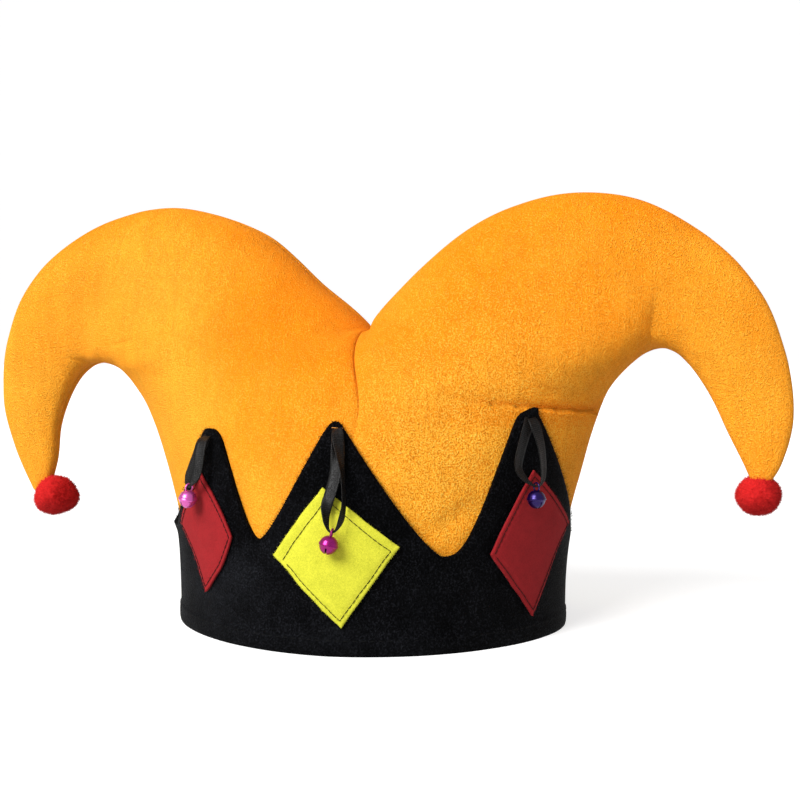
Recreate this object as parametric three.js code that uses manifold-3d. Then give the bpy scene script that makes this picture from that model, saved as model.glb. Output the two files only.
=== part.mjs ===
// Two-horned jester hat: a plush crown of four panels that splits into two curved horns, a velvet band
// cut in a zigzag with a felt diamond under each point, jingle bells on ribbon loops, and a pompom on
// each horn. Millimetres, +Z up, the front faces -Y. The rim stands on Z = 0 and the origin is its centre.

import * as THREE from "three";
import { mergeVertices } from "three/addons/utils/BufferGeometryUtils.js";
import Module from "manifold-3d";

const wasm = await Module();
wasm.setup();

// Driving dimensions
const RIM_HALF_WIDTH = 97; // of the crown, inside the band
const RIM_HALF_DEPTH = 85.4;
const RIM_ROUNDNESS = 1.85; // exponent of the rim's oval, a little more pointed than an ellipse
const VALLEY_HEIGHT = 148; // where the horns part, on the hat's middle
const DOME_ROUNDNESS = 2.4; // exponent of the centre seam's profile from the rim up to the valley
const FLAT_FROM_ROW = 3; // a horn's sections grow flatter from this row of its table on
const FLAT_TO_ROW = 8;
const FLATNESS = 0.45; // the exponent of a section's bulge falls this far below 1
const PLUSH_THICKNESS = 2;
const SEAM_GAP = 0.3; // between neighbouring panels
const SEAM_DRIFT = 10; // the front's centre seam strays this far to the right, most at the next height
const SEAM_DRIFT_HEIGHT = 108;
const SEAM_DRIFT_RISE = 24; // height over which the drift dies away
const SEAM_DRIFT_REACH = 30; // width over which the cloth beside the seam follows it
const RIM_LIFT = 1; // the panels start this far above the band's lower edge

const BAND_GAP = 1.1; // between the crown and the band
const BAND_THICKNESS = 1.8;
const HEM_HEIGHT = 8;
const HEM_BULK = 0.7; // the turned hem stands out this far past the band's face
const HEM_STEP = 1.2; // height over which the hem falls back to the band's face

const FELT_GAP = 0.6; // between the band and a diamond
const FELT_THICKNESS = 1.5;

const RIBBON_THICKNESS = 0.6;
const RIBBON_START = 4; // the loop is sewn on this far below the point's tip

const BELL_WALL = 0.5;
const BELL_SLOT = 0.9;
const BELL_RING_RADIUS = 2; // to the middle of the wire
const BELL_WIRE_RADIUS = 0.4;
const BELL_RING_SINK = 0.6; // the ring is soldered this far into the bell's top
const BELL_RING_SLACK = 0.4; // the ribbon runs this far above the ring's centre

const POMPOM_LUMP = 0.03; // share of the radius by which the trimmed wool varies
const POMPOM_WAVES = new THREE.Vector3(5, 4, 5); // radians of a lump's wave in one radius, on each axis
const POMPOM_SHIFTS = new THREE.Vector3(1, 2, 0);
const POMPOM_GAP = 0.3;

// A horn's sections, from the rim to the tip, on its own side of the hat. The ridge is the seam along the
// top (on the hat's middle up to the valley) and the under seam runs up the side and below the horn.
// The fullness is half the depth at the middle of the section.
const RIGHT_HORN = [
  { ridgeX: 0, ridgeZ: 0, underX: RIM_HALF_WIDTH, underZ: 0, fullness: 71.6 },
  { ridgeX: 0, ridgeZ: 40, underX: 99, underZ: 40, fullness: 70.3 },
  { ridgeX: 0, ridgeZ: 75, underX: 107, underZ: 75, fullness: 65.6 },
  { ridgeX: 0, ridgeZ: 105, underX: 116, underZ: 105, fullness: 59 },
  { ridgeX: 0, ridgeZ: 130, underX: 121.5, underZ: 119, fullness: 54.5 },
  { ridgeX: 0, ridgeZ: VALLEY_HEIGHT, underX: 127.5, underZ: 126.8, fullness: 49 },
  { ridgeX: 25.5, ridgeZ: 176.5, underX: 135, underZ: 133.8, fullness: 42.5 },
  { ridgeX: 57.5, ridgeZ: 201.3, underX: 141, underZ: 137.3, fullness: 35.5 },
  { ridgeX: 96, ridgeZ: 213.8, underX: 146.5, underZ: 138.5, fullness: 29.5 },
  { ridgeX: 132.3, ridgeZ: 211.5, underX: 151, underZ: 137.5, fullness: 21.5 },
  { ridgeX: 165.8, ridgeZ: 194.3, underX: 156, underZ: 134.2, fullness: 16.8 },
  { ridgeX: 191, ridgeZ: 168.6, underX: 163, underZ: 126, fullness: 13.2 },
  { ridgeX: 205, ridgeZ: 136.3, underX: 171.5, underZ: 112.5, fullness: 10.6 },
  { ridgeX: 208.8, ridgeZ: 106, underX: 179, underZ: 96.5, fullness: 8.2 },
  { ridgeX: 204.2, ridgeZ: 84.3, underX: 185.5, underZ: 83, fullness: 6.6 },
  { ridgeX: 197.5, ridgeZ: 72.5, underX: 189.5, underZ: 74, fullness: 4.5 },
];
const LEFT_HORN = [
  { ridgeX: 0, ridgeZ: 0, underX: RIM_HALF_WIDTH, underZ: 0, fullness: 71.6 },
  { ridgeX: 0, ridgeZ: 40, underX: 98.5, underZ: 40, fullness: 70.3 },
  { ridgeX: 0, ridgeZ: 75, underX: 107.5, underZ: 75, fullness: 65.6 },
  { ridgeX: 0, ridgeZ: 105, underX: 119, underZ: 105, fullness: 59 },
  { ridgeX: 0, ridgeZ: 130, underX: 127.5, underZ: 118, fullness: 54.5 },
  { ridgeX: 0, ridgeZ: VALLEY_HEIGHT, underX: 133.5, underZ: 125, fullness: 49 },
  { ridgeX: 26.8, ridgeZ: 171.6, underX: 138.8, underZ: 128.7, fullness: 42.5 },
  { ridgeX: 57.6, ridgeZ: 198, underX: 143.8, underZ: 130, fullness: 35.5 },
  { ridgeX: 96, ridgeZ: 210.8, underX: 148.7, underZ: 130.1, fullness: 29.5 },
  { ridgeX: 131.7, ridgeZ: 208.2, underX: 153.8, underZ: 129.4, fullness: 21.5 },
  { ridgeX: 164, ridgeZ: 194.6, underX: 159, underZ: 126.5, fullness: 16.8 },
  { ridgeX: 188.5, ridgeZ: 173.2, underX: 164.8, underZ: 120, fullness: 13.2 },
  { ridgeX: 202.8, ridgeZ: 143.7, underX: 170.5, underZ: 109, fullness: 10.6 },
  { ridgeX: 206.3, ridgeZ: 112, underX: 175, underZ: 94.5, fullness: 8.2 },
  { ridgeX: 200.5, ridgeZ: 84.3, underX: 177, underZ: 78, fullness: 6.6 },
  { ridgeX: 190, ridgeZ: 60.5, underX: 180.5, underZ: 65, fullness: 4.5 },
];
const VALLEY_ROW = 5;

// Creases in the front panels, as lines across the front view. Each is deepest at its start and fades out
// towards its end. A negative depth swells outwards.
const FOLDS = [
  { side: 1, fromX: 123.5, fromZ: 106, toX: 30, toZ: 118.5, width: 7, depth: 5 }, // the horn sags on its root
  { side: 1, fromX: 116, fromZ: 122.5, toX: 45, toZ: 134.5, width: 9.5, depth: -3 }, // the roll above it
  { side: 1, fromX: 142, fromZ: 139, toX: 145, toZ: 172, width: 5, depth: 2.2 }, // kink at the bend
  { side: -1, fromX: -155, fromZ: 129, toX: -163, toZ: 138, width: 5, depth: 1.6 }, // pinch at the bend
  { side: -1, fromX: -131, fromZ: 129, toX: -108, toZ: 142, width: 6, depth: 1.4 }, // soft dent beside it
];

// The band's six points with what each carries. Places along the rim start at the front's middle and run
// towards +X. A tip has a flat top between two shoulders, and its slant is how far the ends of that top lie
// above and below its height. Its rise and its fall are the exponents of the edges before and after it:
// above 1 an edge flares out towards the valley. Each valley follows its point.
// A diamond's corners are places along the rim with heights. A loop's offset moves its sewn ends along the
// rim, its skew moves its first leg between there and the bell, and its stand is how far the second leg
// stands off the first. Its lean in degrees swings the bell back along the rim.
const POINTS = [
  {
    name: "front",
    tip: { at: 0.5, height: 104.6, flat: 1.5, slant: 0, halfWidth: 4, drop: 4, rise: 1.37, fall: 1.27 },
    valley: { at: 51.5, height: 44 },
    diamond: { top: [-2.1, 74.7], right: [31.5, 49], bottom: [7.5, 13], left: [-23.8, 44.2], felt: "yellow" },
    loop: { drop: 45.1, offset: 1.5, shift: 2, skew: 4.6, bow: 0.9, stand: 0, bell: "magenta", lean: -15 },
  },
  {
    name: "front_right",
    tip: { at: 79.5, height: 110.5, flat: 4, slant: 1.5, halfWidth: 5, drop: 2.5, rise: 3, fall: 1.2 },
    valley: { at: 147, height: 46 },
    diamond: { top: [88, 82.5], right: [125, 55], bottom: [101, 12], left: [73.5, 44], felt: "red" },
    loop: { drop: 30.4, offset: 0, shift: 6.6, skew: 0, bow: 1.1, stand: 0, bell: "violet", lean: 0 },
  },
  {
    name: "back_right",
    tip: { at: 216, height: 103, flat: 2, slant: 0, halfWidth: 4.5, drop: 3.5, rise: 1.35, fall: 1.6 },
    valley: { at: 246.5, height: 47 },
    diamond: { top: [205, 78], right: [231, 45], bottom: [201, 16], left: [175, 49], felt: "yellow" },
    loop: { drop: 34, offset: 0, shift: -8, skew: 0, bow: 1, stand: 0, bell: "magenta", lean: 8 },
  },
  {
    name: "back",
    tip: { at: 292, height: 104, flat: 2, slant: 0, halfWidth: 4.5, drop: 3.5, rise: 1.4, fall: 1.3 },
    valley: { at: 345, height: 48 },
    diamond: { top: [292.5, 78], right: [322, 47.5], bottom: [295.5, 14], left: [266, 44.5], felt: "red" },
    loop: { drop: 40, offset: 0, shift: -3, skew: 0, bow: 0.9, stand: 0, bell: "violet", lean: -6 },
  },
  {
    name: "back_left",
    tip: { at: 370, height: 102, flat: 2, slant: 0, halfWidth: 4.5, drop: 3.5, rise: 1.7, fall: 1.3 },
    valley: { at: 443, height: 48 },
    diamond: { top: [387.5, 77], right: [417, 49.5], bottom: [392.5, 17], left: [363, 44.5], felt: "yellow" },
    loop: { drop: 33, offset: 0, shift: 10, skew: 0, bow: 1.1, stand: 0, bell: "pink", lean: 0 },
  },
  {
    name: "front_left",
    tip: { at: 507.9, height: 100, flat: 2.5, slant: 0, halfWidth: 5.5, drop: 3.5, rise: 1.8, fall: 1.85 },
    valley: { at: 531.6, height: 50 },
    diamond: { top: [500, 79], right: [517.4, 50.3], bottom: [496.2, 21.8], left: [473, 52.5], felt: "red" },
    loop: { drop: 23.5, offset: 0, shift: -8, skew: 0, bow: 0.62, stand: 1.6, bell: "pink", lean: -10 },
  },
];

// A ribbon loop's route, from its sewn left end down through the bell's ring and back up. Side is along the
// rim, drop is a share of the loop's own drop, and lift is the distance from the band's face.
const LOOP_ROUTE = [
  { side: -0.4, drop: 0, lift: 0.55, width: 3.8 },
  { side: -1.4, drop: 0.12, lift: 2.4, width: 5.8 },
  { side: -3, drop: 0.28, lift: 3.1, width: 6 },
  { side: -4.6, drop: 0.46, lift: 3.8, width: 6 },
  { side: -6, drop: 0.63, lift: 4.6, width: 5.8 },
  { side: -6.4, drop: 0.77, lift: 5.6, width: 5 },
  { side: -4.6, drop: 0.89, lift: 7, width: 3.6 },
  { side: -2, drop: 0.975, lift: 8.2, width: 1.3 },
  { side: 0, drop: 1, lift: 8.5, width: 1 },
  { side: 2, drop: 0.975, lift: 8.3, width: 1.3 },
  { side: 3.8, drop: 0.88, lift: 7.2, width: 3.4 },
  { side: 4.6, drop: 0.75, lift: 6, width: 4.6 },
  { side: 4.4, drop: 0.6, lift: 5.5, width: 5 },
  { side: 3.6, drop: 0.43, lift: 5.2, width: 5.2 },
  { side: 2.4, drop: 0.26, lift: 4.8, width: 5.4 },
  { side: 1.2, drop: 0.1, lift: 3.8, width: 5.6 },
  { side: 0.6, drop: 0, lift: 1.3, width: 3.8 },
];

// A bell's outside, from its top to its bottom, about its own middle
const BELL_PROFILE = [
  { radius: 0, height: 4.3 },
  { radius: 2.2, height: 3.9 },
  { radius: 4, height: 2 },
  { radius: 4.5, height: 0.3 },
  { radius: 4.3, height: -0.7 },
  { radius: 3.2, height: -3.1 },
  { radius: 0, height: -4.3 },
];
const BELL_SLOT_TOP = -0.9; // the slots run from the bottom up to here

const POMPOMS = [
  { name: "pompom_right", x: 193, y: -1, z: 67.8, radius: 11.2 },
  { name: "pompom_left", x: -176.6, y: -1, z: 57.8, radius: 12 },
];

// Fineness of the facets
const STEPS_PER_SECTION = 2;
const STEPS_ROUND_PANEL = 11;
const BAND_COLUMN = 9;
const BAND_ROWS = 5;
const FELT_CELLS = 5;
const STEPS_PER_ROUTE_POINT = 1;
const BELL_SIDES = 12;
const RING_SIDES = 10;
const WIRE_SIDES = 5;
const POMPOM_SIDES = 16;
const POMPOM_RINGS = 12;
const SLOPE_STEP = 0.05; // step in rows or radians for measuring the crown's slopes
const ARC_STEPS = 400;
const SEARCH_STEPS = 40;

const FINISHES = {
  plush: { color: "#fda628", roughness: 0.9 },
  velvet: { color: "#141414", roughness: 0.95 },
  yellow: { color: "#f2ec42", roughness: 0.95 },
  red: { color: "#a8282b", roughness: 0.95 },
  ribbon: { color: "#1c1b1b", roughness: 0.5 },
  magenta: { color: "#8a1d5a", roughness: 0.3, metalness: 1 },
  violet: { color: "#3a1a78", roughness: 0.3, metalness: 1 },
  pink: { color: "#d56eaf", roughness: 0.3, metalness: 1 },
  wool: { color: "#b92524", roughness: 1 },
};

const { clamp, degToRad, euclideanModulo, lerp } = THREE.MathUtils;

// Value of a table's column at a fractional row, on a smooth curve through the rows.
function columnAt(rows, column, at) {
  const last = rows.length - 1;
  const row = Math.min(Math.floor(at), last - 1);
  const t = at - row;
  const value = (index) => rows[clamp(index, 0, last)][column];
  const startSlope = (value(row + 1) - value(row - 1)) / 2;
  const endSlope = (value(row + 2) - value(row)) / 2;
  const rise = value(row + 1) - value(row);
  const square = 3 * rise - 2 * startSlope - endSlope;
  const cube = startSlope + endSlope - 2 * rise;
  return value(row) + t * (startSlope + t * (square + t * cube));
}

// Evenly spaced numbers from first to last.
function spread(first, last, steps) {
  return Array.from({ length: steps + 1 }, (_, index) => lerp(first, last, index / steps));
}

// Height of a unit quarter oval above a share of its width.
function quarterOval(share, roundness) {
  return Math.max(1 - share ** roundness, 0) ** (1 / roundness);
}

// Closed body from its corners and triangles, turned so that the faces point out.
function closedBody(corners, triangles) {
  const volume = triangles.reduce(
    (sum, [a, b, c]) => sum + corners[a].dot(new THREE.Vector3().crossVectors(corners[b], corners[c])),
    0,
  );
  const outward = volume < 0 ? triangles.map(([a, b, c]) => [a, c, b]) : triangles;
  return new THREE.BufferGeometry().setFromPoints(corners).setIndex(outward.flat());
}

// Closed wall between two grids of points with the same rows and columns. A ring's last row meets its first.
function wallBetween(outer, inner, ring = false) {
  const rows = outer.length;
  const columns = outer[0].length;
  const outside = (row, column) => (row % rows) * columns + column;
  const inside = (row, column) => rows * columns + outside(row, column);
  const rowSteps = ring ? rows : rows - 1;
  const triangles = [];
  for (let row = 0; row < rowSteps; row += 1) {
    for (let column = 0; column < columns - 1; column += 1) {
      const cell = [[row, column], [row + 1, column], [row + 1, column + 1], [row, column + 1]];
      const [a, b, c, d] = cell.map((place) => outside(...place));
      const [e, f, g, h] = cell.map((place) => inside(...place));
      triangles.push([a, b, c], [a, c, d], [e, g, f], [e, h, g]);
    }
  }
  const edges = [];
  for (let row = 0; row < rowSteps; row += 1) {
    edges.push([[row, 0], [row + 1, 0]], [[row + 1, columns - 1], [row, columns - 1]]);
  }
  for (let column = 0; column < columns - 1 && !ring; column += 1) {
    edges.push([[rows - 1, column], [rows - 1, column + 1]], [[0, column + 1], [0, column]]);
  }
  for (const [from, to] of edges) {
    triangles.push([outside(...to), outside(...from), inside(...from)]);
    triangles.push([outside(...to), inside(...from), inside(...to)]);
  }
  return closedBody([...outer.flat(), ...inner.flat()], triangles);
}

// Solid for joining and cutting, from a closed geometry.
function toSolid(geometry) {
  const bare = geometry.clone();
  bare.deleteAttribute("normal");
  bare.deleteAttribute("uv");
  const merged = mergeVertices(bare);
  return new wasm.Manifold(
    new wasm.Mesh({
      numProp: 3,
      vertProperties: new Float32Array(merged.attributes.position.array),
      triVerts: new Uint32Array(merged.index.array),
    }),
  );
}

// Geometry of a joined or cut solid.
function toGeometry(solid) {
  const { vertProperties, triVerts } = solid.getMesh();
  const geometry = new THREE.BufferGeometry();
  geometry.setAttribute("position", new THREE.BufferAttribute(vertProperties, 3));
  return geometry.setIndex(new THREE.BufferAttribute(triVerts, 1));
}

// Named mesh with a material of its own.
function piece(name, geometry, finish) {
  const flat = geometry.toNonIndexed();
  flat.computeVertexNormals();
  const mesh = new THREE.Mesh(flat, new THREE.MeshStandardMaterial(finish));
  mesh.name = name;
  return mesh;
}

// Point of a horn's outer face as (outward, depth, up). The turn runs from 0 on the ridge to pi on the
// under seam.
function hornPoint(horn, at, turn) {
  const share = (1 - Math.cos(turn)) / 2;
  const ridgeX = Math.max(columnAt(horn, "ridgeX", at), 0);
  const ridgeZ = columnAt(horn, "ridgeZ", at);
  const seam = at < VALLEY_ROW ? RIM_HALF_DEPTH * quarterOval(ridgeZ / VALLEY_HEIGHT, DOME_ROUNDNESS) : 0;
  const belly = columnAt(horn, "fullness", at) - seam * quarterOval(0.5, RIM_ROUNDNESS);
  const flattened = clamp((at - FLAT_FROM_ROW) / (FLAT_TO_ROW - FLAT_FROM_ROW), 0, 1);
  return new THREE.Vector3(
    lerp(ridgeX, columnAt(horn, "underX", at), share),
    seam * quarterOval(share, RIM_ROUNDNESS) + belly * Math.sin(turn) ** (1 - FLATNESS * flattened),
    lerp(ridgeZ, columnAt(horn, "underZ", at), share),
  );
}

// Outward direction there. On a seam it lies in the plane that the two panels share.
function hornNormal(horn, at, turn) {
  const last = horn.length - 1;
  const along = hornPoint(horn, Math.min(at + SLOPE_STEP, last), turn);
  along.sub(hornPoint(horn, Math.max(at - SLOPE_STEP, 0), turn));
  const across = hornPoint(horn, at, Math.min(turn + SLOPE_STEP, Math.PI));
  across.sub(hornPoint(horn, at, Math.max(turn - SLOPE_STEP, 0)));
  const normal = along.cross(across);
  if (turn === 0 && at <= VALLEY_ROW) normal.x = 0;
  if (turn === Math.PI || (turn === 0 && at >= VALLEY_ROW)) normal.y = 0;
  return normal.normalize();
}

// How far the folds push the front face in at a place of the front view.
function foldDepth(side, x, z) {
  const place = new THREE.Vector3(x, 0, z);
  return FOLDS.filter((fold) => fold.side === side).reduce((sum, fold) => {
    const line = new THREE.Line3(
      new THREE.Vector3(fold.fromX, 0, fold.fromZ),
      new THREE.Vector3(fold.toX, 0, fold.toZ),
    );
    const share = line.closestPointToPointParameter(place, true);
    const distance = line.at(share, new THREE.Vector3()).distanceTo(place);
    const fade = (1 + Math.cos(Math.PI * share)) / 2;
    return sum + fade * fold.depth * Math.exp(-((distance / fold.width) ** 2));
  }, 0);
}

// How far the front's cloth is drawn to the right, beside its straying seam.
function seamDrift(x, z) {
  const rise = (z - SEAM_DRIFT_HEIGHT) / SEAM_DRIFT_RISE;
  const reach = x / SEAM_DRIFT_REACH;
  return SEAM_DRIFT * Math.exp(-(rise ** 2) - reach ** 2);
}

// One plush panel: a quarter of the crown with half of a horn. Facing is -1 at the front and 1 at the back.
function crownPanel(horn, side, facing) {
  const last = horn.length - 1;
  const sections = spread(0, last, last * STEPS_PER_SECTION);
  sections[0] = RIM_LIFT / horn[1].ridgeZ;
  const turns = spread(0, Math.PI, STEPS_ROUND_PANEL);
  const grid = (inset) =>
    sections.map((at) =>
      turns.map((turn) => {
        const point = hornPoint(horn, at, turn);
        const onSeam = turn === 0 || turn === Math.PI;
        const fold = facing < 0 && !onSeam ? foldDepth(side, side * point.x, point.z) : 0;
        point.addScaledVector(hornNormal(horn, at, turn), -inset - fold);
        const drift = facing < 0 ? seamDrift(point.x, point.z) : 0;
        return new THREE.Vector3(
          side * Math.max(point.x, SEAM_GAP / 2) + drift,
          facing * Math.max(point.y, SEAM_GAP / 2),
          point.z,
        );
      }),
    );
  return wallBetween(grid(0), grid(PLUSH_THICKNESS));
}

// Turns of the crown's section at even steps, with the length of rim from the middle to each.
const RIM_ARC = spread(0, Math.PI, ARC_STEPS).map((turn) => {
  return { turn, point: hornPoint(RIGHT_HORN, 0, turn) };
});
RIM_ARC.forEach((step, index) => {
  const before = RIM_ARC[index - 1];
  step.length = before ? before.length + step.point.distanceTo(before.point) : 0;
});
const QUARTER_RIM = RIM_ARC[ARC_STEPS].length;
const WHOLE_RIM = 4 * QUARTER_RIM;

// Place on the crown's outer face, or standing off it, at a length along the rim and a height.
function crownPlace(along, height, standOff) {
  const wrapped = euclideanModulo(along, WHOLE_RIM);
  const quarter = Math.min(Math.floor(wrapped / QUARTER_RIM), 3);
  const side = quarter < 2 ? 1 : -1;
  const facing = quarter === 1 || quarter === 2 ? 1 : -1;
  const horn = side > 0 ? RIGHT_HORN : LEFT_HORN;
  const past = wrapped - quarter * QUARTER_RIM;
  const length = quarter % 2 ? QUARTER_RIM - past : past;
  const step = clamp(RIM_ARC.findIndex((entry) => entry.length >= length), 1, ARC_STEPS);
  const [before, after] = [RIM_ARC[step - 1], RIM_ARC[step]];
  const share = clamp((length - before.length) / (after.length - before.length), 0, 1);
  const turn = lerp(before.turn, after.turn, share);
  let [low, high] = [0, VALLEY_ROW];
  for (let search = 0; search < SEARCH_STEPS; search += 1) {
    const middle = (low + high) / 2;
    if (hornPoint(horn, middle, turn).z < height) low = middle;
    else high = middle;
  }
  const mirror = new THREE.Vector3(side, facing, 1);
  const normal = hornNormal(horn, low, turn).multiply(mirror);
  const point = hornPoint(horn, low, turn).multiply(mirror).addScaledVector(normal, standOff);
  return { point, normal };
}

const BAND_FACE = BAND_GAP + BAND_THICKNESS;
const FELT_BACK = BAND_FACE + FELT_GAP;

// The band's columns in order round the rim, each with the height of the zigzag there. A corner's curve is
// the exponent of the edge after it.
function bandColumns() {
  const corners = POINTS.flatMap(({ tip, valley }, index) => {
    const shoulder = tip.height - tip.drop;
    const following = POINTS[(index + 1) % POINTS.length];
    return [
      { at: tip.at - tip.halfWidth, height: shoulder, curve: 1 },
      { at: tip.at - tip.flat, height: tip.height - tip.slant, curve: 1 },
      { at: tip.at + tip.flat, height: tip.height + tip.slant, curve: 1 },
      { at: tip.at + tip.halfWidth, height: shoulder, curve: tip.fall },
      { ...valley, curve: following.tip.rise },
    ];
  });
  return corners.flatMap((corner, index) => {
    const wraps = index === corners.length - 1;
    const next = corners[(index + 1) % corners.length];
    const reach = next.at + (wraps ? WHOLE_RIM : 0) - corner.at;
    const steps = Math.ceil(Math.hypot(reach, next.height - corner.height) / BAND_COLUMN);
    const [low, high] = [corner, next].sort((one, other) => one.height - other.height);
    return spread(0, 1, steps).slice(0, -1).map((share) => {
      const climb = low === corner ? share : 1 - share;
      return { at: corner.at + share * reach, height: lerp(low.height, high.height, climb ** corner.curve) };
    });
  });
}

// The velvet band, with its turned hem along the rim.
function zigzagBand() {
  const columns = bandColumns();
  const levels = (top) => [0, HEM_HEIGHT, ...spread(HEM_HEIGHT + HEM_STEP, top, BAND_ROWS)];
  const grid = (standOff, hemBulk) =>
    columns.map(({ at, height }) =>
      levels(height).map((level) => {
        const bulk = level <= HEM_HEIGHT ? hemBulk : 0;
        const { point } = crownPlace(at, level, standOff + bulk);
        return point.setZ(level === 0 ? 0 : point.z);
      }),
    );
  return wallBetween(grid(BAND_FACE, HEM_BULK), grid(BAND_GAP, 0), true);
}

// A felt diamond between its corners, laid on the band.
function feltDiamond({ top, right, bottom, left }) {
  const shares = spread(0, 1, FELT_CELLS);
  const mix = (axis, down, over) =>
    lerp(lerp(top[axis], right[axis], over), lerp(left[axis], bottom[axis], over), down);
  const grid = (standOff) =>
    shares.map((down) =>
      shares.map((over) => crownPlace(mix(0, down, over), mix(1, down, over), standOff).point),
    );
  return wallBetween(grid(FELT_BACK + FELT_THICKNESS), grid(FELT_BACK));
}

// Place on a ribbon loop at a fractional row of its route.
function loopPlace({ tip, loop }, at) {
  const drop = columnAt(LOOP_ROUTE, "drop", at);
  const height = tip.height - RIBBON_START - drop * loop.drop;
  const pastBell = clamp((2 * at) / (LOOP_ROUTE.length - 1) - 1, 0, 1);
  const skew = pastBell > 0 ? 0 : loop.skew * Math.sin(Math.PI * drop);
  const along = tip.at + loop.offset + loop.bow * columnAt(LOOP_ROUTE, "side", at) + loop.shift * drop + skew;
  const lift = columnAt(LOOP_ROUTE, "lift", at) + loop.stand * Math.sin(Math.PI * pastBell);
  return crownPlace(along, height, BAND_FACE + lift);
}

// A flat ribbon along its loop. It gathers to a narrow fold where it runs through the bell's ring.
function ribbonLoop(spot) {
  const last = LOOP_ROUTE.length - 1;
  const steps = spread(0, last, last * STEPS_PER_ROUTE_POINT);
  const grid = (offset) =>
    steps.map((at) => {
      const { point, normal } = loopPlace(spot, at);
      const onward = loopPlace(spot, Math.min(at + SLOPE_STEP, last)).point;
      onward.sub(loopPlace(spot, Math.max(at - SLOPE_STEP, 0)).point);
      const across = new THREE.Vector3().crossVectors(normal, onward).normalize();
      const face = new THREE.Vector3().crossVectors(onward, across).normalize();
      const half = columnAt(LOOP_ROUTE, "width", at) / 2;
      return [-half, half].map((reach) =>
        point.clone().addScaledVector(across, reach).addScaledVector(face, offset),
      );
    });
  return wallBetween(grid(RIBBON_THICKNESS / 2), grid(-RIBBON_THICKNESS / 2));
}

// A hollow jingle bell with crossed slots below and its wire ring, hung with the ring's centre at the origin.
function jingleBell() {
  const turned = (inset) => {
    const profile = BELL_PROFILE.map(({ radius, height }) => {
      const shrink = 1 - inset / BELL_PROFILE[0].height;
      return new THREE.Vector2(radius * shrink, height * shrink);
    });
    return toSolid(new THREE.LatheGeometry(profile.reverse(), BELL_SIDES).rotateX(Math.PI / 2));
  };
  const top = BELL_PROFILE[0].height;
  const slotDepth = top + BELL_SLOT_TOP;
  const slot = new THREE.BoxGeometry(3 * top, BELL_SLOT, slotDepth);
  slot.translate(0, 0, BELL_SLOT_TOP - slotDepth / 2);
  const crossSlot = slot.clone().rotateZ(Math.PI / 2);
  const ring = new THREE.TorusGeometry(BELL_RING_RADIUS, BELL_WIRE_RADIUS, WIRE_SIDES, RING_SIDES);
  ring.rotateX(Math.PI / 2).translate(0, 0, top + BELL_RING_RADIUS - BELL_RING_SINK);
  const hollow = turned(0).subtract(turned(BELL_WALL)).subtract(toSolid(slot)).subtract(toSolid(crossSlot));
  const bell = hollow.add(toSolid(ring).subtract(turned(BELL_WALL)));
  return toGeometry(bell).translate(0, 0, BELL_RING_SINK - BELL_RING_RADIUS - top);
}

// A pompom of trimmed wool, round with shallow lumps.
function woolBall(radius) {
  const ball = new THREE.SphereGeometry(radius, POMPOM_SIDES, POMPOM_RINGS);
  const places = ball.attributes.position;
  const place = new THREE.Vector3();
  for (let index = 0; index < places.count; index += 1) {
    place.fromBufferAttribute(places, index);
    const waves = place.clone().divideScalar(radius).multiply(POMPOM_WAVES).add(POMPOM_SHIFTS);
    const lump = Math.sin(waves.x) * Math.sin(waves.y) * Math.sin(waves.z);
    place.multiplyScalar(1 + POMPOM_LUMP * lump);
    places.setXYZ(index, place.x, place.y, place.z);
  }
  return toGeometry(toSolid(ball));
}

const hat = new THREE.Group();

// Crown panels, each hollowed at its tip for the pompom that is sewn there
for (const [sideName, horn, side] of [["right", RIGHT_HORN, 1], ["left", LEFT_HORN, -1]]) {
  const pompom = POMPOMS.find(({ x }) => Math.sign(x) === side);
  const reach = pompom.radius * (1 + POMPOM_LUMP) + POMPOM_GAP;
  const seat = new THREE.SphereGeometry(reach, POMPOM_SIDES, POMPOM_RINGS);
  seat.translate(pompom.x, pompom.y, pompom.z);
  for (const [faceName, facing] of [["front", -1], ["back", 1]]) {
    const panel = toSolid(crownPanel(horn, side, facing)).subtract(toSolid(seat));
    hat.add(piece(`${faceName}_${sideName}_panel`, toGeometry(panel), FINISHES.plush));
  }
  const ball = piece(pompom.name, woolBall(pompom.radius), FINISHES.wool);
  ball.position.set(pompom.x, pompom.y, pompom.z);
  hat.add(ball);
}

hat.add(piece("zigzag_band", zigzagBand(), FINISHES.velvet));

// What each point of the band carries
for (const spot of POINTS) {
  hat.add(piece(`diamond_${spot.name}`, feltDiamond(spot.diamond), FINISHES[spot.diamond.felt]));
  hat.add(piece(`ribbon_${spot.name}`, ribbonLoop(spot), FINISHES.ribbon));
  const hang = loopPlace(spot, (LOOP_ROUTE.length - 1) / 2);
  const bell = piece(`bell_${spot.name}`, jingleBell(), FINISHES[spot.loop.bell]);
  bell.position.copy(hang.point).setZ(hang.point.z - BELL_RING_SLACK);
  bell.rotation.set(degToRad(spot.loop.lean), 0, Math.atan2(hang.normal.y, hang.normal.x), "ZYX");
  hat.add(bell);
}

export default hat;
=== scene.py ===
"""Looks of the two-horned jester hat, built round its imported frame. Metres, +Z up, the front faces -Y."""

import logging
import math
from dataclasses import dataclass
from enum import Enum
from functools import cached_property
from typing import NamedTuple, Protocol, Sequence

import bpy
import numpy as np
from mathutils import Matrix, Vector, noise


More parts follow.
